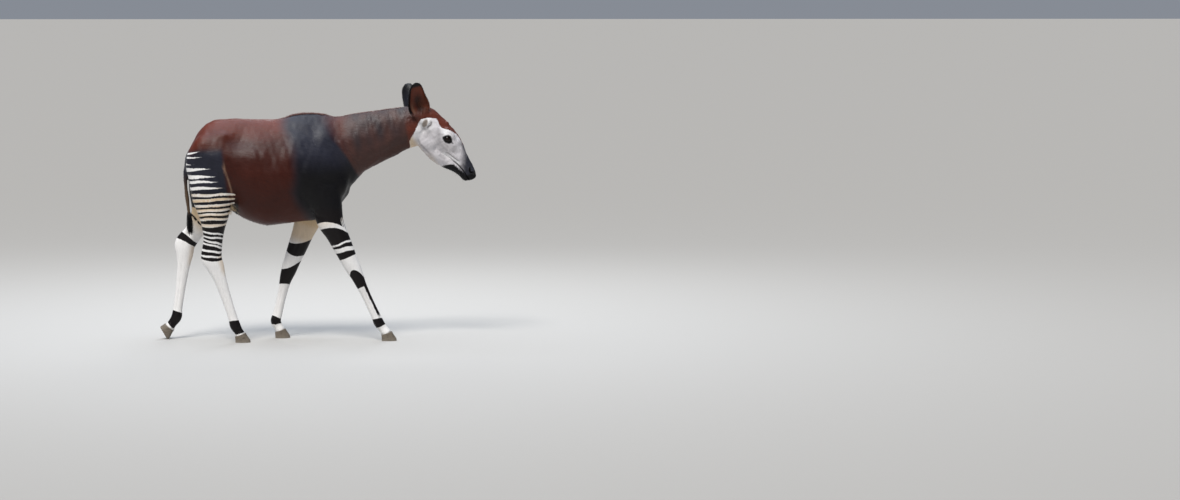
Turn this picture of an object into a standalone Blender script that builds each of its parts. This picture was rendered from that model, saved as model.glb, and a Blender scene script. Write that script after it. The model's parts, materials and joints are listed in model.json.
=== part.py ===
"""A half-grown okapi in mid-stride, as a still, life-size museum model.

Metres, +Z up. The animal faces +X, its right side is -Y, and it stands on the floor z = 0.
The body is modelled whole from lofts and muscles, then parted with thin cuts. Places along
the body are measured from a plumb line just behind the right elbow, and at the end
everything moves so that the origin is under the middle of the model's box.
"""

import math

import bmesh
import bpy
import numpy as np
from mathutils import Matrix, Vector
from mathutils.bvhtree import BVHTree

GAP = 0.0003  # between neighbouring nodes
HALF_GAP = GAP / 2

BODY_VOXEL = 0.0085
HEAD_VOXEL = 0.0032
BODY_TRIANGLES = 5300
HEAD_TRIANGLES = 3400
RING_SPACING = 0.012
HEAD_SPACING = 0.008
RING_SIDES = 28
DOME_STEPS = (0.35, 0.65, 0.9)  # where the rings of a body's round ends lie

# Rounds of smoothing: the trunk alone, then everything, and the head.
TRUNK_ROUNDS = 16
ALL_ROUNDS = 3
HEAD_ROUNDS = 12
SWELL = 0.5

# Head: a slanting axis from the poll to the nose. Places on it are (along, above, aside).
POLL = Vector((0.586, 0.0, 1.2196))
HEAD_PITCH = math.radians(57.4)  # how far the nose points below level
HEAD_ALONG = Vector((math.cos(HEAD_PITCH), 0.0, -math.sin(HEAD_PITCH)))
HEAD_ABOVE = Vector((math.sin(HEAD_PITCH), 0.0, math.cos(HEAD_PITCH)))

EYE_ALONG = 0.1856
EYE_ABOVE = -0.0196
EYE_ASIDE = 0.0475
EYE_RADIUS = 0.023
LID_THICKNESS = 0.004

# Trunk sections: x, top, height of the widest line, bottom, half width, how much narrower
# the top and the bottom are than a plain ellipse.
TORSO = (
    (-0.688, 0.985, 0.930, 0.870, 0.050, 0.00, 0.00),
    (-0.665, 1.030, 0.930, 0.800, 0.105, 0.10, 0.10),
    (-0.620, 1.105, 0.940, 0.745, 0.140, 0.25, 0.20),
    (-0.560, 1.152, 0.950, 0.715, 0.158, 0.35, 0.20),
    (-0.470, 1.166, 0.930, 0.682, 0.165, 0.40, 0.25),
    (-0.380, 1.166, 0.870, 0.632, 0.180, 0.40, 0.20),
    (-0.280, 1.163, 0.850, 0.603, 0.190, 0.42, 0.15),
    (-0.190, 1.169, 0.850, 0.610, 0.187, 0.48, 0.15),
    (-0.090, 1.194, 0.860, 0.622, 0.170, 0.60, 0.20),
    (0.000, 1.192, 0.870, 0.632, 0.150, 0.68, 0.25),
    (0.080, 1.176, 0.880, 0.665, 0.122, 0.62, 0.25),
    (0.140, 1.120, 0.880, 0.745, 0.085, 0.40, 0.30),
)
NECK = (
    (0.000, 1.180, 0.970, 0.740, 0.120, 0.60, 0.35),
    (0.100, 1.177, 0.970, 0.762, 0.104, 0.55, 0.35),
    (0.165, 1.189, 0.990, 0.800, 0.092, 0.50, 0.35),
    (0.228, 1.199, 1.020, 0.870, 0.083, 0.45, 0.30),
    (0.300, 1.208, 1.050, 0.911, 0.075, 0.40, 0.25),
    (0.396, 1.220, 1.085, 0.958, 0.067, 0.35, 0.20),
    (0.476, 1.224, 1.115, 1.002, 0.062, 0.30, 0.20),
    (0.530, 1.222, 1.130, 1.020, 0.058, 0.25, 0.20),
)
# Head sections: the same seven numbers, along and above the head's own axis.
SKULL = (
    (-0.012, -0.014, -0.060, -0.110, 0.045, 0.20, 0.20),
    (0.030, 0.009, -0.055, -0.125, 0.060, 0.20, 0.20),
    (0.080, 0.021, -0.050, -0.135, 0.066, 0.15, 0.30),
    (0.120, 0.031, -0.045, -0.135, 0.068, 0.10, 0.30),
    (0.165, 0.038, -0.030, -0.125, 0.070, 0.08, 0.35),
    (0.210, 0.041, -0.025, -0.115, 0.066, 0.12, 0.35),
    (0.260, 0.037, -0.030, -0.090, 0.052, 0.25, 0.30),
    (0.315, 0.0265, -0.025, -0.062, 0.041, 0.35, 0.20),
    (0.365, 0.0205, -0.020, -0.045, 0.036, 0.35, 0.15),
    (0.405, 0.0145, -0.020, -0.042, 0.034, 0.30, 0.10),
    (0.430, 0.0045, -0.022, -0.042, 0.028, 0.20, 0.10),
)
JAW = (
    (0.090, -0.060, -0.110, -0.155, 0.043, 0.10, 0.20),
    (0.130, -0.070, -0.125, -0.169, 0.046, 0.10, 0.25),
    (0.170, -0.080, -0.122, -0.165, 0.043, 0.10, 0.30),
    (0.212, -0.070, -0.110, -0.157, 0.041, 0.10, 0.30),
    (0.260, -0.060, -0.092, -0.138, 0.039, 0.10, 0.35),
    (0.300, -0.045, -0.076, -0.1155, 0.037, 0.10, 0.35),
    (0.340, -0.038, -0.060, -0.0905, 0.034, 0.10, 0.30),
    (0.375, -0.035, -0.052, -0.0755, 0.032, 0.10, 0.25),
    (0.405, -0.035, -0.048, -0.070, 0.029, 0.10, 0.15),
    (0.423, -0.040, -0.050, -0.064, 0.022, 0.00, 0.00),
)

# Legs: bone by bone, fraction of the bone, half depth to the front and back, half width.
FORE_LEG = (
    (0, 0.00, 0.085, 0.095, 0.060),
    (0, 0.60, 0.078, 0.082, 0.056),
    (1, 0.00, 0.072, 0.073, 0.051),
    (1, 0.25, 0.059, 0.059, 0.046),
    (1, 0.50, 0.052, 0.052, 0.041),
    (1, 0.75, 0.044, 0.045, 0.036),
    (1, 0.90, 0.041, 0.040, 0.033),
    (2, 0.00, 0.037, 0.034, 0.031),
    (2, 0.15, 0.030, 0.030, 0.026),
    (2, 0.40, 0.0255, 0.0255, 0.020),
    (2, 0.65, 0.0245, 0.0250, 0.019),
    (2, 0.86, 0.0255, 0.0265, 0.021),
    (3, 0.00, 0.0270, 0.0300, 0.0245),
    (3, 0.55, 0.0235, 0.0250, 0.0220),
    (3, 1.00, 0.0260, 0.0260, 0.0290),
)
HIND_LEG = (
    (0, 0.00, 0.110, 0.090, 0.062),
    (0, 0.45, 0.118, 0.105, 0.074),
    (0, 0.85, 0.106, 0.106, 0.070),
    (1, 0.18, 0.084, 0.082, 0.060),
    (1, 0.42, 0.062, 0.062, 0.048),
    (1, 0.66, 0.049, 0.053, 0.037),
    (1, 0.84, 0.045, 0.062, 0.032),
    (2, 0.00, 0.045, 0.064, 0.031),
    (2, 0.10, 0.044, 0.052, 0.029),
    (2, 0.25, 0.036, 0.038, 0.024),
    (2, 0.48, 0.0290, 0.0300, 0.0205),
    (2, 0.72, 0.0255, 0.0265, 0.0195),
    (2, 0.88, 0.0250, 0.0265, 0.0210),
    (3, 0.00, 0.0275, 0.0310, 0.0250),
    (3, 0.55, 0.0240, 0.0255, 0.0220),
    (3, 1.00, 0.0260, 0.0260, 0.0290),
)

# Hooves: one claw, in the foot's own frame with the toe along +X and the sole at 0.
CLAW_LENGTH = 0.078
CLAW_WIDTH = 0.033
CLEFT = 0.0025  # from the foot's midline to a claw's flat inner side
CORONET_BACK = 0.012  # the coronet's middle lies this far behind the sole's middle
CORONET_HEIGHT = 0.040
CORONET_TILT = math.radians(17)
TOE_SINK = 0.0035  # how far the raised foot is worn flat at its tips
CLAW_NARROWING = 0.14  # how much narrower a claw gets as its rings get shorter
CLAW_FLAT = 0.12  # the part of a claw's width cut flat along the cleft

RIGHT, LEFT = -1, 1


def side_of(name):
    return RIGHT if name.endswith("right") else LEFT


# Cuts: a place on each and its normal, or the ways it runs from its corner.
NECK_CUT = (Vector((0.150, 0.0, 0.985)), Vector((1.0, 0.0, 0.18)))
HEAD_CUT = (Vector((0.452, 0.0, 1.115)), Vector((0.98, 0.0, 0.19)))
HAUNCH_CORNER = Vector((-0.432, 0.0, 0.800))
HAUNCH_TOP_WAY = Vector((-0.87, 0.0, 0.49)).normalized()
HAUNCH_FRONT_WAY = Vector((-0.04, 0.0, -1.0)).normalized()
HAUNCH_TOP = 0.42
HAUNCH_FRONT = 0.25
ELBOW_HEIGHT = 0.604
KNEE_CUT_DROP = 0.03  # below the joint's middle
NECK_SHEET = (0.60, 0.40, GAP)
HEAD_SHEET = (0.40, 0.40, GAP)
HEAD_BLOCK = 0.6
HAUNCH_WIDTH = 0.50
ELBOW_SHEET = (0.24, 0.19, GAP)
KNEE_SHEET = (0.18, 0.12, GAP)
CORONET_SHEET = (0.12, 0.12, GAP)

# The eye's opening, with its long axis tilted down to the front.
EYE_OPEN_LONG = 0.040
EYE_OPEN_HIGH = 0.031
EYE_TILT = math.radians(34)
LID_SIDES = 20
LID_BLUNTNESS = 0.25  # 0 gives a round opening, more gives sharper corners

# Where the lips meet, (along, above) in the head's axes, from the corner to the front.
MOUTH = ((0.247, -0.0765), (0.284, -0.0600), (0.330, -0.0460), (0.364, -0.0405), (0.392, -0.0400))
MOUTH_FRONT_TURNS = [math.radians(a) for a in (-60, -35, -12, 12, 35, 60)]
MOUTH_DEPTH = 0.0020
NOSTRIL_ALONG = 0.392
NOSTRIL_ABOVE = -0.008
NOSTRIL_RADII = (0.010, 0.006, 0.0035)

# Ears: fraction of the length, half width, bulge of the back, depth of the cup's floor
# behind the rim (less than 0 where the ear is solid), shift forward.
EAR = (
    (-0.07, 0.024, 0.016, -0.014, 0.000),
    (0.02, 0.038, 0.024, -0.014, 0.000),
    (0.10, 0.052, 0.032, -0.002, 0.001),
    (0.22, 0.060, 0.038, 0.024, 0.001),
    (0.36, 0.059, 0.037, 0.032, -0.001),
    (0.56, 0.050, 0.030, 0.0255, -0.003),
    (0.76, 0.040, 0.022, 0.0180, -0.002),
    (0.90, 0.029, 0.014, 0.0100, 0.000),
    (0.97, 0.018, 0.008, 0.0045, 0.001),
    (1.00, 0.009, 0.004, 0.0010, 0.001),
)
EAR_LENGTH = 0.188
EAR_WALL = 0.004
EAR_FULL_WALL = 0.010  # the cup's depth at which its wall has its full thickness
EAR_LEAST_FLOOR = 0.002  # how deep a grown ear's filling stays behind its rim
EAR_SIDES = 12
EAR_SPACING = 0.08  # in parts of the length
EAR_ALONG = 0.010
EAR_ABOVE = -0.073
EAR_ASIDE = 0.060
# Tilt back, lean outward, turn of the cup forward.
EAR_SET = {RIGHT: (math.radians(9), math.radians(17), math.radians(20)),
           LEFT: (math.radians(23), math.radians(15), math.radians(20))}

# Tail: x, z and radius from inside the rump to the tuft.
TAIL = (
    (-0.625, 1.030, 0.015),
    (-0.664, 0.990, 0.015),
    (-0.688, 0.930, 0.014),
    (-0.696, 0.860, 0.0125),
    (-0.692, 0.780, 0.011),
    (-0.684, 0.710, 0.010),
    (-0.679, 0.660, 0.009),
)
TUFT_TOP = Vector((-0.6795, 0.0, 0.664))
TUFT_WAY = Vector((0.05, 0.0, -1.0)).normalized()
TUFT_LENGTH = 0.115
# The tuft's core: fraction of the length, radius.
TUFT_CORE = ((0.0, 0.0095), (0.25, 0.0120), (0.50, 0.0100), (0.72, 0.0045))
LOCKS = 15
LOCK_TURN = math.radians(137.5)  # from one lock to the next, round the tail
LOCK_STARTS = (0.10, 0.24, 0.38)  # fractions of the tuft's length
LOCK_ENDS = (0.80, 1.00, 0.90, 0.72)
# One lock: fraction of its length, its width, its distance from the core's middle.
LOCK = ((0.0, 0.0080, 0.0040), (0.25, 0.0120, 0.0115), (0.50, 0.0115, 0.0150), (0.75, 0.0080, 0.0140),
        (1.0, 0.0022, 0.0105))
LOCK_FLATNESS = 0.42  # a lock's thickness as a part of its width
LOCK_SWAY = math.radians(22)  # how far a tip has swung round the tail

# Claw rings from the sole up: height, length, how far back the ring's middle lies.
CLAW_RINGS = (
    (0.0, CLAW_LENGTH, 0.0),
    (0.012, 0.076, 0.001),
    (0.028, 0.066, 0.007),
    (0.045, 0.054, 0.012),
)
CLAW_SIDES = 16


def leg_places(name):
    """The joints of one leg as (x, z) from the trunk down, its distance from the middle
    plane at each, the foot's middle on the floor and the foot's pitch."""
    return {
        "fore_right": (((0.030, 0.800), (0.052, 0.640), (0.190, 0.344), (0.306, 0.093)),
                       (0.082, 0.102, 0.099, 0.093), 0.357, 0.0),
        "fore_left": (((-0.010, 0.790), (-0.060, 0.630), (-0.180, 0.321), (-0.235, 0.088)),
                      (0.082, 0.102, 0.099, 0.093), -0.200, 0.0),
        "hind_right": (((-0.590, 0.930), (-0.548, 0.720), (-0.552, 0.438), (-0.440, 0.084)),
                       (0.085, 0.100, 0.104, 0.098), -0.404, 0.0),
        "hind_left": (((-0.590, 0.930), (-0.575, 0.700), (-0.700, 0.492), (-0.755, 0.112)),
                      (0.085, 0.100, 0.104, 0.098), -0.841, math.radians(60)),
    }[name]


LEGS = ("fore_right", "fore_left", "hind_right", "hind_left")


def clear_scene():
    for obj in list(bpy.data.objects):
        bpy.data.objects.remove(obj)


def make_collection(name):
    made = bpy.data.collections.new(name)
    bpy.context.scene.collection.children.link(made)
    return made


def make_material(name, colour, roughness):
    made = bpy.data.materials.new(name)
    made.use_nodes = True
    shader = made.node_tree.nodes["Principled BSDF"]
    shader.inputs["Base Color"].default_value = (*colour, 1.0)
    shader.inputs["Roughness"].default_value = roughness
    shader.inputs["Metallic"].default_value = 0.0
    return made


def head_place(along, above, aside=0.0):
    return POLL + along * HEAD_ALONG + above * HEAD_ABOVE + Vector((0.0, aside, 0.0))


def through(rows, spacing):
    """A smooth run of rows through the given ones; the first three numbers are a place."""
    rows = np.array(rows, float)
    steps = np.linalg.norm(np.diff(rows[:, :3], axis=0), axis=1)
    run = np.concatenate(([0.0], np.cumsum(steps)))
    slopes = np.gradient(rows, run, axis=0)
    count = max(4, math.ceil(run[-1] / spacing) + 1)
    at = np.linspace(0.0, run[-1], count)
    i = np.clip(np.searchsorted(run, at, side="right") - 1, 0, len(run) - 2)
    width = (run[i + 1] - run[i])[:, None]
    u = (at - run[i])[:, None] / width
    return (
        (2 * u**3 - 3 * u**2 + 1) * rows[i]
        + (u**3 - 2 * u**2 + u) * width * slopes[i]
        + (3 * u**2 - 2 * u**3) * rows[i + 1]
        + (u**3 - u**2) * width * slopes[i + 1]
    )


def section(centre, up, sizes, scale, sides):
    """One ring: half sizes above and below the widest line, half width, two taperings."""
    above, below, wide, pinch, tuck = sizes
    points = []
    for k in range(sides):
        angle = math.tau * k / sides
        s = math.sin(angle)
        height = (above if s > 0 else below) * s * scale
        taper = 1 - (pinch if s > 0 else tuck) * s * s
        aside = wide * math.cos(angle) * taper * scale
        points.append(centre + up * height + Vector((0.0, aside, 0.0)))
    return points


def skin_rings(bm, rings):
    """Closes a run of rings of equal count into one body, facing out."""
    made = [[bm.verts.new(p) for p in ring] for ring in rings]
    sides = len(made[0])
    faces = []
    for one, two in zip(made, made[1:]):
        for k in range(sides):
            n = (k + 1) % sides
            faces.append(bm.faces.new((one[k], one[n], two[n], two[k])))
    faces.append(bm.faces.new(list(reversed(made[0]))))
    faces.append(bm.faces.new(made[-1]))
    bmesh.ops.recalc_face_normals(bm, faces=faces)


def loft(bm, rows, start_dome, end_dome, upright, spacing=RING_SPACING, sides=RING_SIDES):
    """A body through rows of (x, y, z, above, below, wide, pinch, tuck), with round ends."""
    rows = through(rows, spacing)
    centres = [Vector(r[:3]) for r in rows]
    rings = []
    for i, row in enumerate(rows):
        ahead = centres[min(i + 1, len(rows) - 1)] - centres[max(i - 1, 0)]
        flat = Vector((ahead.x, 0.0, ahead.z)).normalized()
        up = Vector((0.0, 0.0, 1.0)) if upright else Vector((-flat.z, 0.0, flat.x))
        out = Vector((1.0, 0.0, 0.0)) if upright else flat
        rings.append((centres[i], up, out, row[3:]))
    shells = []
    for step in reversed(DOME_STEPS):
        c, up, out, sizes = rings[0]
        shells.append(section(c - out * start_dome * step, up, sizes, math.sqrt(1 - step**2), sides))
    shells += [section(c, up, sizes, 1.0, sides) for c, up, out, sizes in rings]
    for step in DOME_STEPS:
        c, up, out, sizes = rings[-1]
        shells.append(section(c + out * end_dome * step, up, sizes, math.sqrt(1 - step**2), sides))
    skin_rings(bm, shells)


def trunk_rows(table):
    """Sections given by their heights, as loft rows with upright rings."""
    return [(x, 0.0, mid, top - mid, mid - low, wide, pinch, tuck)
            for x, top, mid, low, wide, pinch, tuck in table]


def head_rows(table):
    rows = []
    for along, top, mid, low, wide, pinch, tuck in table:
        centre = head_place(along, mid)
        rows.append((*centre, top - mid, mid - low, wide, pinch, tuck))
    return rows


def foot_frame(name):
    """Where a foot stands: its middle on the floor, raised round its toe by its pitch."""
    joints, asides, foot_x, pitch = leg_places(name)
    side = side_of(name)
    toe = CLAW_LENGTH / 2
    sink = TOE_SINK if pitch else 0.0
    turn = Matrix.Translation((toe, 0, -sink)) @ Matrix.Rotation(pitch, 4, "Y")
    return (Matrix.Translation((foot_x, side * asides[-1], 0.0)) @ turn
            @ Matrix.Translation((-toe, 0, 0)))


def coronet_plane(name):
    """The middle and the upward normal of the cut between a leg and its claws."""
    frame = foot_frame(name)
    middle = frame @ Vector((-CORONET_BACK, 0.0, CORONET_HEIGHT))
    normal = frame.to_3x3() @ Vector((-math.sin(CORONET_TILT), 0.0, math.cos(CORONET_TILT)))
    return middle, normal.normalized()


def leg_rows(name):
    joints, asides, _, _ = leg_places(name)
    side = side_of(name)
    middle, normal = coronet_plane(name)
    places = [Vector((x, side * y, z)) for (x, z), y in zip(joints, asides)]
    places.append(middle - normal * 0.004)
    shape = FORE_LEG if name.startswith("fore") else HIND_LEG
    rows = []
    for bone, fraction, front, back, wide in shape:
        place = places[bone].lerp(places[bone + 1], fraction)
        rows.append((*place, front, back, wide, 0.0, 0.0))
    return rows


def add_muscle(bm, centre, radii, lean=0.0):
    """An ellipsoid on each side of the middle plane; a lean above 0 takes its top forward."""
    for side in (RIGHT, LEFT):
        place = Vector((centre[0], side * centre[1], centre[2]))
        turn = Matrix.Rotation(lean, 4, "Y")
        shape = Matrix.Translation(place) @ turn @ Matrix.Diagonal((*radii, 1.0))
        bmesh.ops.create_uvsphere(bm, u_segments=24, v_segments=14, radius=1.0, matrix=shape)


def add_head_muscle(bm, along, above, aside, radii):
    """An ellipsoid with radii along, aside and above in the head's own axes."""
    centre = head_place(along, above)
    add_muscle(bm, (centre.x, aside, centre.z), radii, lean=HEAD_PITCH)


def shape_trunk(bm):
    loft(bm, trunk_rows(TORSO), 0.012, 0.030, upright=True)
    loft(bm, trunk_rows(NECK), 0.020, 0.020, upright=True)
    add_muscle(bm, (0.050, 0.060, 0.950), (0.075, 0.044, 0.150), math.radians(-20))  # scapula
    add_muscle(bm, (0.090, 0.068, 0.820), (0.062, 0.050, 0.080))  # point of the shoulder
    add_muscle(bm, (-0.005, 0.100, 0.780), (0.090, 0.052, 0.110), math.radians(-25))  # triceps
    add_muscle(bm, (-0.500, 0.088, 1.065), (0.060, 0.036, 0.036))  # point of the hip
    add_muscle(bm, (-0.600, 0.076, 0.950), (0.090, 0.074, 0.140), math.radians(12))  # haunch
    add_muscle(bm, (-0.490, 0.098, 0.755), (0.042, 0.048, 0.090))  # stifle
    for name in LEGS:
        loft(bm, leg_rows(name), 0.03, 0.002, upright=False)


def shape_head(bm):
    loft(bm, head_rows(SKULL), 0.020, 0.010, upright=False, spacing=HEAD_SPACING)
    loft(bm, head_rows(JAW), 0.015, 0.006, upright=False, spacing=HEAD_SPACING)
    lid = EYE_RADIUS + LID_THICKNESS
    add_head_muscle(bm, EYE_ALONG, EYE_ABOVE, EYE_ASIDE, (lid, lid, lid))
    add_head_muscle(bm, 0.168, 0.006, 0.050, (0.042, 0.021, 0.020))  # brow
    add_head_muscle(bm, 0.175, -0.052, 0.046, (0.060, 0.019, 0.017))  # cheek bone
    add_head_muscle(bm, 0.135, -0.100, 0.028, (0.065, 0.029, 0.058))  # chewing muscle
    add_head_muscle(bm, 0.397, -0.009, 0.023, (0.025, 0.014, 0.018))  # nostril wing
    add_head_muscle(bm, 0.380, -0.032, 0.016, (0.042, 0.018, 0.011))  # upper lip
    add_head_muscle(bm, 0.117, 0.024, 0.022, (0.013, 0.010, 0.011))  # horn bud
    add_head_muscle(bm, 0.020, -0.076, 0.046, (0.042, 0.028, 0.036))  # root of the ear


def mesh_object(name, bm, collection):
    mesh = bpy.data.meshes.new(name)
    bm.to_mesh(mesh)
    bm.free()
    obj = bpy.data.objects.new(name, mesh)
    collection.objects.link(obj)
    return obj


def bake_modifiers(obj):
    """Replaces an object's mesh by what its modifiers make of it."""
    depsgraph = bpy.context.evaluated_depsgraph_get()
    mesh = bpy.data.meshes.new_from_object(obj.evaluated_get(depsgraph))
    obj.modifiers.clear()
    old = obj.data
    obj.data = mesh
    bpy.data.meshes.remove(old)


def relax(mesh, rounds, swell, weight):
    """Rounds of smoothing, each followed by a little swelling so that thin parts stay full."""
    count = len(mesh.vertices)
    co = np.empty(count * 3)
    mesh.vertices.foreach_get("co", co)
    co = co.reshape(-1, 3)
    ends = np.empty(len(mesh.edges) * 2, int)
    mesh.edges.foreach_get("vertices", ends)
    one, two = ends.reshape(-1, 2).T
    degree = np.bincount(one, minlength=count) + np.bincount(two, minlength=count)
    amount = weight(co)[:, None]
    for _ in range(rounds):
        for step in (0.5, -swell):
            around = np.stack([
                np.bincount(one, co[two, i], count) + np.bincount(two, co[one, i], count)
                for i in range(3)], axis=1) / degree[:, None]
            co = co + step * amount * (around - co)
    mesh.vertices.foreach_set("co", co.ravel())
    mesh.update()


def ramp(values, low, high):
    t = np.clip((values - low) / (high - low), 0.0, 1.0)
    return t * t * (3 - 2 * t)


def trunk_weight(co):
    """1 on the trunk and neck, 0 on the legs."""
    return ramp(co[:, 2], 0.58, 0.74)


def everywhere(co):
    return np.ones(len(co))


def fuse(obj, voxel):
    """Melts overlapping bodies into one skin."""
    remesh = obj.modifiers.new("fuse", "REMESH")
    remesh.mode = "VOXEL"
    remesh.voxel_size = voxel
    bake_modifiers(obj)


def thin_out(obj, triangles):
    have = sum(len(p.vertices) - 2 for p in obj.data.polygons)
    thin = obj.modifiers.new("thin", "DECIMATE")
    thin.ratio = triangles / have
    thin.use_collapse_triangulate = True
    bake_modifiers(obj)


def combine(obj, other, operation):
    """Adds another body to this one, or takes it out, and removes the other."""
    modifier = obj.modifiers.new("combine", "BOOLEAN")
    modifier.operation = operation
    modifier.solver = "EXACT"
    modifier.object = other
    bake_modifiers(obj)
    bpy.data.objects.remove(other)


def cut_away(obj, cutter):
    combine(obj, cutter, "DIFFERENCE")


def box_cutter(centre, normal, sizes, collection, ahead=Vector((0.0, 1.0, 0.0))):
    """A box whose third size lies along normal and whose second lies along ahead."""
    normal = Vector(normal).normalized()
    across = Vector(ahead).cross(normal).normalized()
    turn = Matrix((across, normal.cross(across), normal)).transposed().to_4x4()
    bm = bmesh.new()
    shape = Matrix.Translation(centre) @ turn @ Matrix.Diagonal((*sizes, 1.0))
    bmesh.ops.create_cube(bm, size=1.0, matrix=shape)
    return mesh_object("cutter", bm, collection)


def sheet_cutter(outline, collection):
    """A thin plate in the middle plane with the given outline."""
    bm = bmesh.new()
    aside = Vector((0.0, HALF_GAP, 0.0))
    skin_rings(bm, [[p - aside for p in outline], [p + aside for p in outline]])
    return mesh_object("cutter", bm, collection)


def loose_parts(mesh):
    """The separate closed surfaces of a mesh, each as its own bmesh."""
    source = bmesh.new()
    source.from_mesh(mesh)
    source.verts.ensure_lookup_table()
    seen = set()
    parts = []
    for start in source.verts:
        if start.index in seen:
            continue
        group = {start.index}
        queue = [start]
        while queue:
            vert = queue.pop()
            for edge in vert.link_edges:
                other = edge.other_vert(vert)
                if other.index not in group:
                    group.add(other.index)
                    queue.append(other)
        seen |= group
        part = source.copy()
        away = [v for v in part.verts if v.index not in group]
        bmesh.ops.delete(part, geom=away, context="VERTS")
        parts.append(part)
    source.free()
    return parts


def volume_of(bm):
    return abs(bm.calc_volume(signed=True))


def keep_largest(obj):
    """Leaves an object only its largest closed surface."""
    parts = sorted(loose_parts(obj.data), key=volume_of)
    parts[-1].to_mesh(obj.data)
    for part in parts:
        part.free()


def middle_of(bm):
    return sum((v.co for v in bm.verts), Vector()) / len(bm.verts)


def take_parts(obj, seeds, collection):
    """Names a cut body's pieces by the seed each lies nearest; the largest keeps a name."""
    chosen = {}
    for part in loose_parts(obj.data):
        middle = middle_of(part)
        name = min(seeds, key=lambda n: (seeds[n] - middle).length)
        volume = volume_of(part)
        if name not in chosen or volume > chosen[name][0]:
            chosen[name] = (volume, part)
    bpy.data.objects.remove(obj)
    return {name: mesh_object(name, part, collection) for name, (_, part) in chosen.items()}


def leg_joints(name):
    joints, asides, _, _ = leg_places(name)
    side = side_of(name)
    return [Vector((x, side * y, z)) for (x, z), y in zip(joints, asides)]


def part_body(body, cutters):
    """Parts the whole body at the neck, haunches, elbows, knees, hocks and coronets."""
    cut_away(body, box_cutter(*NECK_CUT, NECK_SHEET, cutters))
    cut_away(body, box_cutter(*HEAD_CUT, HEAD_SHEET, cutters))
    corner, top_way, front_way = HAUNCH_CORNER, HAUNCH_TOP_WAY, HAUNCH_FRONT_WAY
    top_normal = Vector((-top_way.z, 0.0, top_way.x))
    front_normal = Vector((-front_way.z, 0.0, front_way.x))
    top_middle = corner + top_way * (HAUNCH_TOP / 2 - GAP)
    cut_away(body, box_cutter(top_middle, top_normal, (HAUNCH_TOP, HAUNCH_WIDTH, GAP), cutters))
    front_middle = corner + front_way * (HAUNCH_FRONT / 2 - GAP)
    front_sheet = (HAUNCH_FRONT, HAUNCH_WIDTH, GAP)
    cut_away(body, box_cutter(front_middle, front_normal, front_sheet, cutters))
    back = corner + top_way * HAUNCH_TOP
    front = corner + front_way * HAUNCH_FRONT * 2
    outline = (corner, back, Vector((back.x, 0.0, front.z)), front)
    cut_away(body, sheet_cutter(outline, cutters))
    for name in LEGS:
        place = leg_joints(name)
        if name.startswith("fore"):
            down = (place[2] - place[1]).normalized()
            top = place[1] + down * ((place[1].z - ELBOW_HEIGHT) / -down.z)
            cut_away(body, box_cutter(top, (0.0, 0.0, 1.0), ELBOW_SHEET, cutters))
        bend = (place[1] - place[3]).normalized()
        knee = place[2] - bend * KNEE_CUT_DROP
        cut_away(body, box_cutter(knee, bend, KNEE_SHEET, cutters))
        low, up = coronet_plane(name)
        cut_away(body, box_cutter(low, up, CORONET_SHEET, cutters))


def body_seeds():
    seeds = {"torso": Vector((-0.25, 0.0, 0.90)), "neck": Vector((0.33, 0.0, 1.08)),
             "spare_head": Vector((0.65, 0.0, 1.05))}
    for name in LEGS:
        place = leg_joints(name)
        seeds[name + "_upper"] = place[1].lerp(place[2], 0.4)
        seeds[name + "_lower"] = place[2].lerp(place[3], 0.6)
        seeds["spare_" + name] = coronet_plane(name)[0] - Vector((0.0, 0.0, 0.02))
    return seeds


def make_body(parts, cutters):
    bm = bmesh.new()
    shape_trunk(bm)
    shape_head(bm)
    body = mesh_object("body", bm, parts)
    fuse(body, BODY_VOXEL)
    relax(body.data, TRUNK_ROUNDS, 0.0, trunk_weight)
    relax(body.data, ALL_ROUNDS, SWELL, everywhere)
    thin_out(body, BODY_TRIANGLES)
    cut_away(body, tail_body("cutter", GAP, cutters))
    part_body(body, cutters)
    nodes = take_parts(body, body_seeds(), parts)
    for name in [n for n in nodes if n.startswith("spare")]:
        bpy.data.objects.remove(nodes.pop(name))
    return nodes


def eye_centre(side):
    return head_place(EYE_ALONG, EYE_ABOVE, side * EYE_ASIDE)


def ball(name, side, radius, collection):
    bm = bmesh.new()
    turn = Matrix.Rotation(math.radians(90), 4, "X")
    shape = Matrix.Translation(eye_centre(side)) @ turn
    bmesh.ops.create_uvsphere(bm, u_segments=20, v_segments=12, radius=radius, matrix=shape)
    return mesh_object(name, bm, collection)


def lid_opening(side, collection):
    """A leaf-shaped prism that opens the lids over the outer face of the eyeball."""
    outline = []
    for k in range(LID_SIDES):
        angle = math.tau * k / LID_SIDES
        high = math.sin(angle) * abs(math.sin(angle)) ** LID_BLUNTNESS
        outline.append((EYE_OPEN_LONG / 2 * math.cos(angle), EYE_OPEN_HIGH / 2 * high))
    tilt = Matrix.Rotation(EYE_TILT, 3, "Y")
    rings = []
    for depth in (0.010, 0.050):
        rings.append([eye_centre(side) + Vector((0.0, side * depth, 0.0))
                      + tilt @ Vector((x, 0.0, z)) for x, z in outline])
    bm = bmesh.new()
    skin_rings(bm, rings)
    return mesh_object("cutter", bm, collection)


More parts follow.
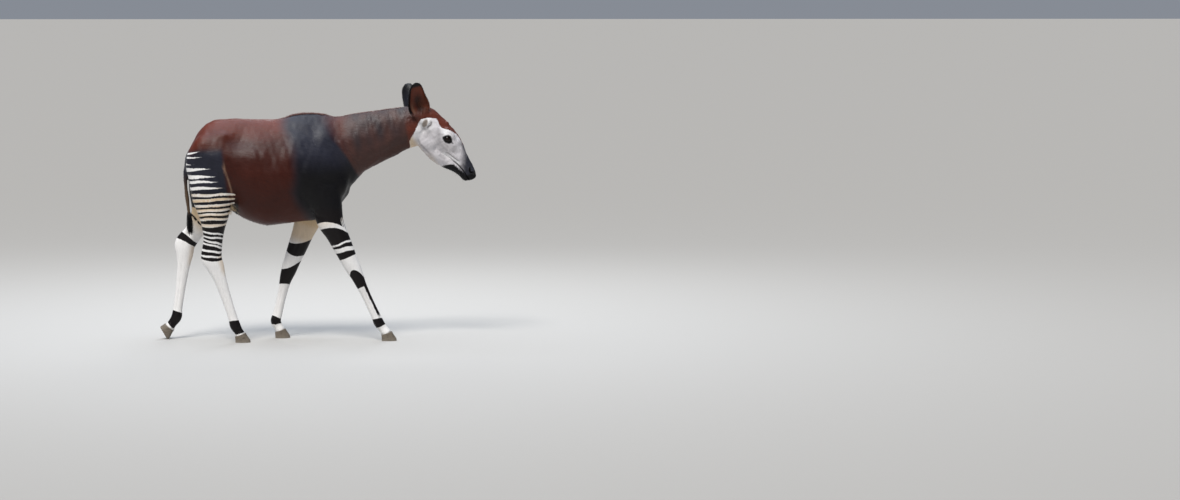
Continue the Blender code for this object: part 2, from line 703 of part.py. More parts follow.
def groove_cutter(points, depth, collection):
    """A round groove along a line of points."""
    curve = bpy.data.curves.new("groove", "CURVE")
    curve.dimensions = "3D"
    curve.bevel_depth = depth
    curve.bevel_resolution = 1
    curve.use_fill_caps = True
    spline = curve.splines.new("POLY")
    spline.points.add(len(points) - 1)
    for point, place in zip(spline.points, points):
        point.co = (*place, 1.0)
    tube = bpy.data.objects.new("groove", curve)
    collection.objects.link(tube)
    mesh = bpy.data.meshes.new_from_object(
        tube.evaluated_get(bpy.context.evaluated_depsgraph_get()))
    bpy.data.objects.remove(tube)
    bm = bmesh.new()
    bm.from_mesh(mesh)
    bpy.data.meshes.remove(mesh)
    bmesh.ops.remove_doubles(bm, verts=bm.verts, dist=0.00001)
    bmesh.ops.recalc_face_normals(bm, faces=bm.faces)
    return mesh_object("cutter", bm, collection)


def mouth_line(tree):
    """Where the lips meet, on the head's surface: right corner, round the front, left corner."""
    sides = []
    for side in (RIGHT, LEFT):
        way = Vector((0.0, side, 0.0))
        sides.append([surface_place(tree, along, above, way) for along, above in MOUTH])
    along, above = MOUTH[-1]
    front = []
    for turn in MOUTH_FRONT_TURNS:
        way = math.sin(turn) * Vector((0.0, 1.0, 0.0)) + math.cos(turn) * HEAD_ALONG
        front.append(surface_place(tree, along, above, way))
    return sides[0] + front + sides[1][::-1]


def surface_place(tree, along, above, way):
    """The head's surface, seen from inside the head in one direction."""
    return tree.ray_cast(head_place(along, above), way)[0]


def make_head(parts, cutters):
    bm = bmesh.new()
    loft(bm, trunk_rows(NECK), 0.020, 0.020, upright=True)
    shape_head(bm)
    head = mesh_object("head", bm, parts)
    fuse(head, HEAD_VOXEL)
    relax(head.data, HEAD_ROUNDS, 0.0, everywhere)
    middle, normal = HEAD_CUT
    behind = middle - normal.normalized() * (HEAD_BLOCK / 2 - HALF_GAP)
    cut_away(head, box_cutter(behind, normal, (HEAD_BLOCK,) * 3, cutters))
    keep_largest(head)
    thin_out(head, HEAD_TRIANGLES)
    tree = BVHTree.FromObject(head, bpy.context.evaluated_depsgraph_get())
    cut_away(head, groove_cutter(mouth_line(tree), MOUTH_DEPTH, cutters))
    for side in (RIGHT, LEFT):
        cut_away(head, nostril(tree, side, cutters))
        cut_away(head, lid_opening(side, cutters))
        cut_away(head, ball("cutter", side, EYE_RADIUS + GAP, cutters))
        cut_away(head, ear_body("cutter", side, GAP, cutters))
    keep_largest(head)
    return head


def nostril(tree, side, collection):
    """A slanting, comma-like pit."""
    way = Vector((0.0, side, 0.0))
    place = surface_place(tree, NOSTRIL_ALONG, NOSTRIL_ABOVE, way)
    bm = bmesh.new()
    turn = Matrix.Rotation(HEAD_PITCH + math.radians(25), 4, "Y")
    shape = Matrix.Translation(place) @ turn @ Matrix.Diagonal((*NOSTRIL_RADII, 1.0))
    bmesh.ops.create_uvsphere(bm, u_segments=14, v_segments=8, radius=1.0, matrix=shape)
    return mesh_object("cutter", bm, collection)


def ear_axes(side):
    """An ear's own directions: up its length, forward across its width, out of its cup."""
    back, lean, turn = EAR_SET[side]
    up = Vector((-math.sin(back), side * math.sin(lean), math.cos(back) * math.cos(lean)))
    up.normalize()
    out = Vector((math.sin(turn), side * math.cos(turn), 0.0))
    out = (out - up * out.dot(up)).normalized()
    across = up.cross(out) * side
    return up, -across if across.x < 0 else across, out


def ear_body(name, side, grow, collection):
    """The ear: solid at its root, a thin cup above. A grown ear has its cup filled."""
    up, across, out = ear_axes(side)
    base = head_place(EAR_ALONG, EAR_ABOVE, side * EAR_ASIDE)
    rows = [(t, 0.0, 0.0, half, bulge, floor, shift) for t, half, bulge, floor, shift in EAR]
    rings = []
    for t, _, _, half, bulge, floor, shift in through(rows, EAR_SPACING):
        centre = base + up * (t * EAR_LENGTH) + across * shift
        half, bulge = half + grow, bulge + grow
        wall = EAR_WALL * min(1.0, max(0.0, floor / EAR_FULL_WALL))
        if grow:
            floor = min(floor, -EAR_LEAST_FLOOR) - grow
            wall = 0.0
        inner = half - wall
        ring = []
        for k in range(EAR_SIDES + 1):
            angle = math.pi * (k / EAR_SIDES - 0.5)
            ring.append(centre + across * half * math.sin(angle) - out * bulge * math.cos(angle))
        for k in range(1, EAR_SIDES):
            angle = math.pi * (0.5 - k / EAR_SIDES)
            ring.append(centre + across * inner * math.sin(angle) - out * floor * math.cos(angle))
        rings.append(ring)
    if grow:
        rings[0] = [p - up * grow for p in rings[0]]
    bm = bmesh.new()
    skin_rings(bm, rings)
    return mesh_object(name, bm, collection)


def tail_body(name, grow, collection):
    """The tail from inside the rump down to its tuft."""
    bm = bmesh.new()
    rows = [(x, 0.0, z, r + grow, r + grow, r + grow, 0.0, 0.0) for x, z, r in TAIL]
    loft(bm, rows, 0.004 + grow, 0.004, upright=False, spacing=0.04, sides=10)
    trim(bm, TUFT_TOP - TUFT_WAY * HALF_GAP, -TUFT_WAY)
    return mesh_object(name, bm, collection)


def tuft_lock(index, collection):
    """One flat, tapering lock, its root sunk in the core, bent out, down and round."""
    start = LOCK_STARTS[index % len(LOCK_STARTS)]
    end = LOCK_ENDS[index % len(LOCK_ENDS)]
    rings = []
    for t, wide, away in LOCK:
        angle = index * LOCK_TURN + LOCK_SWAY * t * t
        out = Vector((math.cos(angle), math.sin(angle), 0.0))
        aside = Vector((-math.sin(angle), math.cos(angle), 0.0))
        drop = TUFT_LENGTH * (start + (end - start) * t)
        centre = TUFT_TOP + TUFT_WAY * drop + out * away
        thick = wide * LOCK_FLATNESS
        rings.append([centre + aside * (wide / 2), centre + out * (thick / 2),
                      centre - aside * (wide / 2), centre - out * (thick / 2)])
    bm = bmesh.new()
    skin_rings(bm, rings)
    return mesh_object("lock", bm, collection)


def make_tuft(parts, cutters):
    """The black tuft at the tail's tip: overlapping locks round a core, fused into one."""
    rows = []
    for t, wide in TUFT_CORE:
        place = TUFT_TOP + TUFT_WAY * (TUFT_LENGTH * t)
        rows.append((*place, wide, wide, wide, 0.0, 0.0))
    bm = bmesh.new()
    loft(bm, rows, 0.004, 0.004, upright=False, spacing=0.02, sides=12)
    trim(bm, TUFT_TOP + TUFT_WAY * HALF_GAP, TUFT_WAY)
    tuft = mesh_object("tail_tuft", bm, parts)
    for index in range(LOCKS):
        combine(tuft, tuft_lock(index, cutters), "UNION")
    keep_largest(tuft)
    return tuft


def trim(bm, place, normal):
    """Cuts off what lies behind a plane, seen along its normal, and closes the cut."""
    floor = bmesh.ops.bisect_plane(bm, geom=bm.verts[:] + bm.edges[:] + bm.faces[:],
                                   plane_co=place, plane_no=normal, clear_inner=True)
    edges = [e for e in floor["geom_cut"] if isinstance(e, bmesh.types.BMEdge)]
    bmesh.ops.contextual_create(bm, geom=edges)
    bmesh.ops.recalc_face_normals(bm, faces=bm.faces)


def make_claws(name, parts):
    """The two claws of a foot, each a closed horn shell with a flat sole."""
    frame = foot_frame(name)
    middle, up = coronet_plane(name)
    made = []
    for inner, sign in (("inner", -side_of(name)), ("outer", side_of(name))):
        rings = []
        for height, length, back in CLAW_RINGS:
            ring = []
            wide = CLAW_WIDTH * (1 - CLAW_NARROWING * (1 - length / CLAW_LENGTH))
            for k in range(CLAW_SIDES):
                angle = math.tau * k / CLAW_SIDES
                x = math.cos(angle) * length / 2 - back
                across = wide / 2 * (1 + math.sin(angle)) - CLAW_FLAT * CLAW_WIDTH
                ring.append(frame @ Vector((x, sign * (CLEFT + max(across, 0.0)), height)))
            rings.append(ring)
        rings[-1] = [p - up * ((p - middle).dot(up) + HALF_GAP) for p in rings[-1]]
        bm = bmesh.new()
        skin_rings(bm, rings)
        if leg_places(name)[3]:
            trim(bm, (0.0, 0.0, 0.0), (0.0, 0.0, 1.0))
        made.append(mesh_object(f"{name}_hoof_{inner}", bm, parts))
    return made


def paint(objects):
    coat = make_material("coat", (0.13, 0.04, 0.02), 0.5)
    horn = make_material("horn", (0.22, 0.18, 0.14), 0.6)
    eye = make_material("eye", (0.01, 0.008, 0.007), 0.1)
    for obj in objects:
        wears = eye if obj.name.startswith("eye") else horn if "hoof" in obj.name else coat
        obj.data.materials.clear()
        obj.data.materials.append(wears)


def stand_on_origin(objects):
    """Moves everything so that the origin is under the middle of the model's box."""
    corners = [v.co for obj in objects for v in obj.data.vertices]
    low = Vector([min(c[i] for c in corners) for i in range(3)])
    high = Vector([max(c[i] for c in corners) for i in range(3)])
    move = Vector((-(low.x + high.x) / 2, -(low.y + high.y) / 2, -low.z))
    for obj in objects:
        obj.data.transform(Matrix.Translation(move))


def build():
    clear_scene()
    parts = make_collection("okapi")
    cutters = make_collection("cutters")
    nodes = list(make_body(parts, cutters).values())
    nodes.append(make_head(parts, cutters))
    for side, word in ((RIGHT, "right"), (LEFT, "left")):
        nodes.append(ball(f"eye_{word}", side, EYE_RADIUS, parts))
        nodes.append(ear_body(f"ear_{word}", side, 0.0, parts))
    nodes.append(tail_body("tail", 0.0, parts))
    nodes.append(make_tuft(parts, cutters))
    for name in LEGS:
        nodes += make_claws(name, parts)
    paint(nodes)
    stand_on_origin(nodes)
    bpy.data.collections.remove(cutters)
    return nodes


build()
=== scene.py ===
"""The looks of a half-grown okapi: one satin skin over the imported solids, with its eyes, lids,
hooves and locks of hair.

Metres, +Z up. The animal faces +X and its right side is -Y. Places along the body are measured
from a plumb line just behind the right elbow, and move_in shifts them into the frame.
"""

import json
import math

import bmesh
import bpy
import numpy as np
from mathutils import Matrix, Vector
from mathutils.bvhtree import BVHTree

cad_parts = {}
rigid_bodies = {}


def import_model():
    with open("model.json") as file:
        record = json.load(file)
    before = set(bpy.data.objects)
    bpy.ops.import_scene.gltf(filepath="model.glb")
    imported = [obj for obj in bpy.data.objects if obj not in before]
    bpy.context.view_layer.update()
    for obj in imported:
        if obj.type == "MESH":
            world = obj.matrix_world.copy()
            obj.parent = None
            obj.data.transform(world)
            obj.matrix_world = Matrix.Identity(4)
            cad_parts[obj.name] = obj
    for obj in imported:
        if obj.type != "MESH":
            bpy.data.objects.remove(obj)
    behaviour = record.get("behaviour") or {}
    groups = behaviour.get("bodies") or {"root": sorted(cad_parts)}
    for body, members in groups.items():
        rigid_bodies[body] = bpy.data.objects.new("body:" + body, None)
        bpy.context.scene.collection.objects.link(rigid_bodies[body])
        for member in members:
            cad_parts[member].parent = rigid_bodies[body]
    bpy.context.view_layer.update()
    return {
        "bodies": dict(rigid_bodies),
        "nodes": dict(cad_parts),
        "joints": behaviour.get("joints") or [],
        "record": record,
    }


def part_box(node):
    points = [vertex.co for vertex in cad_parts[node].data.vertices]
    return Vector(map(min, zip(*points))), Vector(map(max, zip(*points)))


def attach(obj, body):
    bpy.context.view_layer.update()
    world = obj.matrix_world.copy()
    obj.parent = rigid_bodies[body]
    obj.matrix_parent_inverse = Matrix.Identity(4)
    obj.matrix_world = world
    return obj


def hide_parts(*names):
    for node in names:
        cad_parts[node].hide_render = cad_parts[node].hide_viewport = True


# Fineness of the skin.
SKIN_VOXEL = 0.0026
TRUNK_SHARE = 0.10  # how much of the trunk's mesh is kept
LEG_SHARE = 0.45
RING_SPACING = 0.012
RING_SIDES = 40
COAT_DEPTH = 0.0012  # the skin lies this far inside the solids
TRUNK_COAT_DEPTH = 0.0012  # this much deeper on the trunk

# Head: a slanting axis from the poll to the nose. Places on it are (along, above, aside).
POLL = Vector((0.586, 0.0, 1.2196))
HEAD_PITCH = math.radians(57.4)
HEAD_ALONG = Vector((math.cos(HEAD_PITCH), 0.0, -math.sin(HEAD_PITCH)))
HEAD_ABOVE = Vector((math.sin(HEAD_PITCH), 0.0, math.cos(HEAD_PITCH)))

EYE_ALONG = 0.1856
EYE_ABOVE = -0.0196
EYE_ASIDE = 0.0475
EYE_RADIUS = 0.023
LID_THICKNESS = 0.004
LID_LIP = -0.0006  # further inside the lids' edge than this the skin is sunk
EYE_OPEN_LONG = 0.040
EYE_OPEN_HIGH = 0.031
EYE_TILT = math.radians(34)
EYE_TURN = np.array(Matrix.Rotation(EYE_TILT, 3, "Y"))

# The plane between neck and head: its normal, its distance from the origin, half its softness.
HEAD_LINE_WAY = (0.98, 0.0, 0.19)
HEAD_LINE = 0.655
HEAD_LINE_SOFT = 0.012
TRUNK_FLOOR = 0.62  # the legs are thinned below this height, the trunk above it

# Trunk sections: x, top, height of the widest line, bottom, half width, how much narrower
# the top and the bottom are than a plain ellipse.
TORSO = (
    (-0.688, 0.985, 0.930, 0.870, 0.050, 0.00, 0.00),
    (-0.665, 1.030, 0.930, 0.800, 0.105, 0.10, 0.10),
    (-0.620, 1.105, 0.940, 0.745, 0.140, 0.25, 0.20),
    (-0.560, 1.152, 0.950, 0.715, 0.158, 0.35, 0.20),
    (-0.470, 1.166, 0.930, 0.682, 0.165, 0.40, 0.25),
    (-0.380, 1.166, 0.870, 0.632, 0.180, 0.40, 0.20),
    (-0.280, 1.163, 0.850, 0.603, 0.190, 0.42, 0.15),
    (-0.190, 1.169, 0.850, 0.610, 0.187, 0.48, 0.15),
    (-0.090, 1.194, 0.860, 0.622, 0.170, 0.60, 0.20),
    (0.000, 1.192, 0.870, 0.632, 0.150, 0.68, 0.25),
    (0.080, 1.176, 0.880, 0.665, 0.122, 0.62, 0.25),
    (0.140, 1.120, 0.880, 0.745, 0.085, 0.40, 0.30),
)
NECK = (
    (0.000, 1.180, 0.970, 0.740, 0.120, 0.60, 0.35),
    (0.100, 1.177, 0.970, 0.762, 0.104, 0.55, 0.35),
    (0.165, 1.189, 0.990, 0.800, 0.092, 0.50, 0.35),
    (0.228, 1.199, 1.020, 0.870, 0.083, 0.45, 0.30),
    (0.300, 1.208, 1.050, 0.911, 0.075, 0.40, 0.25),
    (0.396, 1.220, 1.085, 0.958, 0.067, 0.35, 0.20),
    (0.476, 1.224, 1.115, 1.002, 0.062, 0.30, 0.20),
    (0.530, 1.222, 1.130, 1.020, 0.058, 0.25, 0.20),
)
SKULL = (
    (-0.012, -0.014, -0.060, -0.110, 0.045, 0.20, 0.20),
    (0.030, 0.009, -0.055, -0.125, 0.060, 0.20, 0.20),
    (0.080, 0.021, -0.050, -0.135, 0.066, 0.15, 0.30),
    (0.120, 0.031, -0.045, -0.135, 0.068, 0.10, 0.30),
    (0.165, 0.038, -0.030, -0.125, 0.070, 0.08, 0.35),
    (0.210, 0.041, -0.025, -0.115, 0.066, 0.12, 0.35),
    (0.260, 0.037, -0.030, -0.090, 0.052, 0.25, 0.30),
    (0.315, 0.0265, -0.025, -0.062, 0.041, 0.35, 0.20),
    (0.365, 0.0205, -0.020, -0.045, 0.036, 0.35, 0.15),
    (0.405, 0.0145, -0.020, -0.042, 0.034, 0.30, 0.10),
    (0.430, 0.0045, -0.022, -0.042, 0.028, 0.20, 0.10),
)
JAW = (
    (0.090, -0.060, -0.110, -0.155, 0.043, 0.10, 0.20),
    (0.130, -0.070, -0.125, -0.169, 0.046, 0.10, 0.25),
    (0.170, -0.080, -0.122, -0.165, 0.043, 0.10, 0.30),
    (0.212, -0.070, -0.110, -0.157, 0.041, 0.10, 0.30),
    (0.260, -0.060, -0.092, -0.138, 0.039, 0.10, 0.35),
    (0.300, -0.045, -0.076, -0.1155, 0.037, 0.10, 0.35),
    (0.340, -0.038, -0.060, -0.0905, 0.034, 0.10, 0.30),
    (0.375, -0.035, -0.052, -0.0755, 0.032, 0.10, 0.25),
    (0.405, -0.035, -0.048, -0.070, 0.029, 0.10, 0.15),
    (0.423, -0.040, -0.050, -0.064, 0.022, 0.00, 0.00),
)

# Legs: bone by bone, fraction of the bone, half depth to the front and back, half width.
FORE_LEG = (
    (0, 0.00, 0.085, 0.095, 0.060),
    (0, 0.60, 0.078, 0.082, 0.056),
    (1, 0.00, 0.072, 0.073, 0.051),
    (1, 0.25, 0.059, 0.059, 0.046),
    (1, 0.50, 0.052, 0.052, 0.041),
    (1, 0.75, 0.044, 0.045, 0.036),
    (1, 0.90, 0.041, 0.040, 0.033),
    (2, 0.00, 0.037, 0.034, 0.031),
    (2, 0.15, 0.030, 0.030, 0.026),
    (2, 0.40, 0.0255, 0.0255, 0.020),
    (2, 0.65, 0.0245, 0.0250, 0.019),
    (2, 0.86, 0.0255, 0.0265, 0.021),
    (3, 0.00, 0.0270, 0.0300, 0.0245),
    (3, 0.55, 0.0235, 0.0250, 0.0220),
    (3, 1.00, 0.0260, 0.0260, 0.0290),
)
HIND_LEG = (
    (0, 0.00, 0.110, 0.090, 0.062),
    (0, 0.45, 0.118, 0.105, 0.074),
    (0, 0.85, 0.106, 0.106, 0.070),
    (1, 0.18, 0.084, 0.082, 0.060),
    (1, 0.42, 0.062, 0.062, 0.048),
    (1, 0.66, 0.049, 0.053, 0.037),
    (1, 0.84, 0.045, 0.062, 0.032),
    (2, 0.00, 0.045, 0.064, 0.031),
    (2, 0.10, 0.044, 0.052, 0.029),
    (2, 0.25, 0.036, 0.038, 0.024),
    (2, 0.48, 0.0290, 0.0300, 0.0205),
    (2, 0.72, 0.0255, 0.0265, 0.0195),
    (2, 0.88, 0.0250, 0.0265, 0.0210),
    (3, 0.00, 0.0275, 0.0310, 0.0250),
    (3, 0.55, 0.0240, 0.0255, 0.0220),
    (3, 1.00, 0.0260, 0.0260, 0.0290),
)
LEGS = ("fore_right", "fore_left", "hind_right", "hind_left")

# Hooves: one claw, in the foot's own frame with the toe along +X and the sole at 0.
CLAW_LENGTH = 0.078
CLAW_WIDTH = 0.033
CLEFT = 0.0025
CORONET_BACK = 0.012
CORONET_HEIGHT = 0.040
CORONET_TILT = math.radians(17)
TOE_SINK = 0.0035
# Claw rings from the sole up: height, length, how far back the ring's middle lies.
CLAW_RINGS = ((0.0, CLAW_LENGTH, 0.0), (0.012, 0.076, 0.001), (0.028, 0.066, 0.007), (0.045, 0.054, 0.012))
CLAW_SIDES = 48
CLAW_LEVELS = 26

RIGHT, LEFT = -1, 1
SIDES = {RIGHT: "right", LEFT: "left"}

# Ears: fraction of the length, half width, bulge of the back, depth of the cup's floor
# behind the rim (less than 0 where the ear is solid), shift forward.
EAR = (
    (-0.07, 0.024, 0.016, -0.014, 0.000),
    (0.02, 0.038, 0.024, -0.014, 0.000),
    (0.10, 0.052, 0.032, -0.002, 0.001),
    (0.22, 0.060, 0.038, 0.024, 0.001),
    (0.36, 0.059, 0.037, 0.032, -0.001),
    (0.56, 0.050, 0.030, 0.0255, -0.003),
    (0.76, 0.040, 0.022, 0.0180, -0.002),
    (0.90, 0.029, 0.014, 0.0100, 0.000),
    (0.97, 0.018, 0.008, 0.0045, 0.001),
    (1.00, 0.009, 0.004, 0.0010, 0.001),
)
EAR_LENGTH = 0.188
EAR_WALL = 0.0046
EAR_SIDES = 30
EAR_SPACING = 0.03
EAR_REACH = 0.006  # points this far outside the cup still belong to it
EAR_ALONG = 0.010
EAR_ABOVE = -0.073
EAR_ASIDE = 0.060
EAR_SET = {RIGHT: (math.radians(9), math.radians(17), math.radians(20)),
           LEFT: (math.radians(23), math.radians(15), math.radians(20))}

TAIL = (
    (-0.625, 1.030, 0.015),
    (-0.664, 0.990, 0.015),
    (-0.688, 0.930, 0.014),
    (-0.696, 0.860, 0.0125),
    (-0.692, 0.780, 0.011),
    (-0.684, 0.710, 0.010),
    (-0.679, 0.660, 0.009),
)
TUFT_TOP = Vector((-0.6795, 0.0, 0.664))

# Camera: where it stood, in the body's own places, and the photograph's size in pixels.
CAMERA_PLACE = Vector((0.0, -15.0, 1.742))
PHOTO_WIDTH, PHOTO_HEIGHT = 1180, 500
FOCAL_PIXELS = 2855.0
BODY_COLUMN = 319.1  # the photograph's column straight ahead of the camera's place
HORIZON_ROW = 7.0
SENSOR = 36.0


def leg_places(name):
    """The joints of one leg as (x, z) from the trunk down, its distance from the middle
    plane at each, the foot's middle on the floor and the foot's pitch."""
    return {
        "fore_right": (((0.030, 0.800), (0.052, 0.640), (0.190, 0.344), (0.306, 0.093)),
                       (0.082, 0.102, 0.099, 0.093), 0.357, 0.0),
        "fore_left": (((-0.010, 0.790), (-0.060, 0.630), (-0.180, 0.321), (-0.235, 0.088)),
                      (0.082, 0.102, 0.099, 0.093), -0.200, 0.0),
        "hind_right": (((-0.590, 0.930), (-0.548, 0.720), (-0.552, 0.438), (-0.440, 0.084)),
                       (0.085, 0.100, 0.104, 0.098), -0.404, 0.0),
        "hind_left": (((-0.590, 0.930), (-0.575, 0.700), (-0.700, 0.492), (-0.755, 0.112)),
                      (0.085, 0.100, 0.104, 0.098), -0.841, math.radians(60)),
    }[name]


def side_of(name):
    return RIGHT if name.endswith("right") else LEFT


def head_place(along, above, aside=0.0):
    return POLL + along * HEAD_ALONG + above * HEAD_ABOVE + Vector((0.0, aside, 0.0))


def eye_centre(side):
    return head_place(EYE_ALONG, EYE_ABOVE, side * EYE_ASIDE)


# Lofts.

def ease(u, start, end, leave, arrive):
    """Goes smoothly from start to end as u goes from 0 to 1, with a slope at each end."""
    return ((2 * u**3 - 3 * u**2 + 1) * start + (u**3 - 2 * u**2 + u) * leave
            + (3 * u**2 - 2 * u**3) * end + (u**3 - u**2) * arrive)


def through(rows, spacing):
    """A smooth run of rows through the given ones; the first three numbers are a place."""
    rows = np.array(rows, float)
    steps = np.linalg.norm(np.diff(rows[:, :3], axis=0), axis=1)
    run = np.concatenate(([0.0], np.cumsum(steps)))
    slopes = np.gradient(rows, run, axis=0)
    count = max(4, math.ceil(run[-1] / spacing) + 1)
    at = np.linspace(0.0, run[-1], count)
    i = np.clip(np.searchsorted(run, at, side="right") - 1, 0, len(run) - 2)
    width = (run[i + 1] - run[i])[:, None]
    u = (at - run[i])[:, None] / width
    return ease(u, rows[i], rows[i + 1], width * slopes[i], width * slopes[i + 1])


def section(centre, up, sizes, scale, sides):
    """One ring: half sizes above and below the widest line, half width, two taperings."""
    above, below, wide, pinch, tuck = sizes
    points = []
    for k in range(sides):
        angle = math.tau * k / sides
        s = math.sin(angle)
        height = (above if s > 0 else below) * s * scale
        taper = 1 - (pinch if s > 0 else tuck) * s * s
        aside = wide * math.cos(angle) * taper * scale
        points.append(centre + up * height + Vector((0.0, aside, 0.0)))
    return points


def skin_rings(bm, rings):
    """Closes a run of rings of equal count into one body, facing out."""
    made = [[bm.verts.new(p) for p in ring] for ring in rings]
    sides = len(made[0])
    faces = []
    for one, two in zip(made, made[1:]):
        for k in range(sides):
            n = (k + 1) % sides
            faces.append(bm.faces.new((one[k], one[n], two[n], two[k])))
    faces.append(bm.faces.new(list(reversed(made[0]))))
    faces.append(bm.faces.new(made[-1]))
    bmesh.ops.recalc_face_normals(bm, faces=faces)


def loft(bm, rows, start_dome, end_dome, upright, spacing=RING_SPACING, sides=RING_SIDES):
    """A body through rows of (x, y, z, above, below, wide, pinch, tuck), with round ends."""
    rows = through(rows, spacing)
    centres = [Vector(r[:3]) for r in rows]
    rings = []
    for i, row in enumerate(rows):
        ahead = centres[min(i + 1, len(rows) - 1)] - centres[max(i - 1, 0)]
        flat = Vector((ahead.x, 0.0, ahead.z)).normalized()
        up = Vector((0.0, 0.0, 1.0)) if upright else Vector((-flat.z, 0.0, flat.x))
        out = Vector((1.0, 0.0, 0.0)) if upright else flat
        rings.append((centres[i], up, out, row[3:]))
    shells = []
    steps = (0.35, 0.65, 0.9)
    for step in reversed(steps):
        c, up, out, sizes = rings[0]
        shells.append(section(c - out * start_dome * step, up, sizes, math.sqrt(1 - step**2), sides))
    shells += [section(c, up, sizes, 1.0, sides) for c, up, out, sizes in rings]
    for step in steps:
        c, up, out, sizes = rings[-1]
        shells.append(section(c + out * end_dome * step, up, sizes, math.sqrt(1 - step**2), sides))
    skin_rings(bm, shells)


def trunk_rows(table):
    return [(x, 0.0, mid, top - mid, mid - low, wide, pinch, tuck)
            for x, top, mid, low, wide, pinch, tuck in table]


def head_rows(table):
    rows = []
    for along, top, mid, low, wide, pinch, tuck in table:
        rows.append((*head_place(along, mid), top - mid, mid - low, wide, pinch, tuck))
    return rows


def foot_frame(name):
    """Where a foot stands: its middle on the floor, raised round its toe by its pitch."""
    _, asides, foot_x, pitch = leg_places(name)
    toe = CLAW_LENGTH / 2
    sink = TOE_SINK if pitch else 0.0
    turn = Matrix.Translation((toe, 0, -sink)) @ Matrix.Rotation(pitch, 4, "Y")
    return (Matrix.Translation((foot_x, side_of(name) * asides[-1], 0.0)) @ turn
            @ Matrix.Translation((-toe, 0, 0)))


def coronet_plane(name):
    """The middle and the upward normal of the plane between a leg and its claws."""
    frame = foot_frame(name)
    middle = frame @ Vector((-CORONET_BACK, 0.0, CORONET_HEIGHT))
    normal = frame.to_3x3() @ Vector((-math.sin(CORONET_TILT), 0.0, math.cos(CORONET_TILT)))
    return middle, normal.normalized()


def leg_axis(name):
    """The four joints and the coronet of a leg."""
    joints, asides, _, _ = leg_places(name)
    side = side_of(name)
    middle, normal = coronet_plane(name)
    places = [Vector((x, side * y, z)) for (x, z), y in zip(joints, asides)]
    return places + [middle - normal * 0.002]


def leg_table(name):
    return FORE_LEG if name.startswith("fore") else HIND_LEG


def leg_rows(name):
    places = leg_axis(name)
    rows = []
    for bone, fraction, front, back, wide in leg_table(name):
        place = places[bone].lerp(places[bone + 1], fraction)
        rows.append((*place, front, back, wide, 0.0, 0.0))
    return rows


def add_muscle(bm, centre, radii, lean=0.0):
    """An ellipsoid on each side of the middle plane; a lean above 0 takes its top forward."""
    for side in SIDES:
        place = Vector((centre[0], side * centre[1], centre[2]))
        turn = Matrix.Rotation(lean, 4, "Y")
        shape = Matrix.Translation(place) @ turn @ Matrix.Diagonal((*radii, 1.0))
        bmesh.ops.create_uvsphere(bm, u_segments=32, v_segments=20, radius=1.0, matrix=shape)


def add_head_muscle(bm, along, above, aside, radii):
    """An ellipsoid with radii along, aside and above in the head's own axes."""
    centre = head_place(along, above)
    add_muscle(bm, (centre.x, aside, centre.z), radii, lean=HEAD_PITCH)


def shape_trunk(bm):
    loft(bm, trunk_rows(TORSO), 0.012, 0.030, upright=True)
    loft(bm, trunk_rows(NECK), 0.020, 0.020, upright=True)
    add_muscle(bm, (0.050, 0.060, 0.950), (0.075, 0.044, 0.150), math.radians(-20))  # scapula
    add_muscle(bm, (0.090, 0.068, 0.820), (0.062, 0.050, 0.080))  # point of the shoulder
    add_muscle(bm, (-0.005, 0.100, 0.780), (0.090, 0.052, 0.110), math.radians(-25))  # triceps
    add_muscle(bm, (-0.500, 0.088, 1.065), (0.060, 0.036, 0.036))  # point of the hip
    add_muscle(bm, (-0.600, 0.076, 0.950), (0.090, 0.074, 0.140), math.radians(12))  # haunch
    add_muscle(bm, (-0.490, 0.098, 0.755), (0.042, 0.048, 0.090))  # stifle
    for name in LEGS:
        loft(bm, leg_rows(name), 0.03, 0.004, upright=False)


def shape_head(bm):
    loft(bm, head_rows(SKULL), 0.020, 0.010, upright=False, spacing=0.008)
    loft(bm, head_rows(JAW), 0.015, 0.006, upright=False, spacing=0.008)
    lid = EYE_RADIUS + LID_THICKNESS
    add_head_muscle(bm, EYE_ALONG, EYE_ABOVE, EYE_ASIDE, (lid, lid, lid))
    add_head_muscle(bm, 0.168, 0.006, 0.050, (0.042, 0.021, 0.020))  # brow
    add_head_muscle(bm, 0.175, -0.052, 0.046, (0.060, 0.019, 0.017))  # cheek bone
    add_head_muscle(bm, 0.135, -0.100, 0.028, (0.065, 0.029, 0.058))  # chewing muscle
    add_head_muscle(bm, 0.397, -0.009, 0.023, (0.025, 0.014, 0.018))  # nostril wing
    add_head_muscle(bm, 0.380, -0.032, 0.016, (0.042, 0.018, 0.011))  # upper lip
    add_head_muscle(bm, 0.117, 0.024, 0.022, (0.013, 0.010, 0.011))  # horn bud
    add_head_muscle(bm, 0.020, -0.076, 0.046, (0.042, 0.028, 0.036))  # root of the ear


def ear_axes(side):
    """An ear's own directions: up its length, forward across its width, out of its cup."""
    back, lean, turn = EAR_SET[side]
    up = Vector((-math.sin(back), side * math.sin(lean), math.cos(back) * math.cos(lean)))
    up.normalize()
    out = Vector((math.sin(turn), side * math.cos(turn), 0.0))
    out = (out - up * out.dot(up)).normalized()
    across = up.cross(out) * side
    return up, -across if across.x < 0 else across, out


def ear_base(side):
    return head_place(EAR_ALONG, EAR_ABOVE, side * EAR_ASIDE)


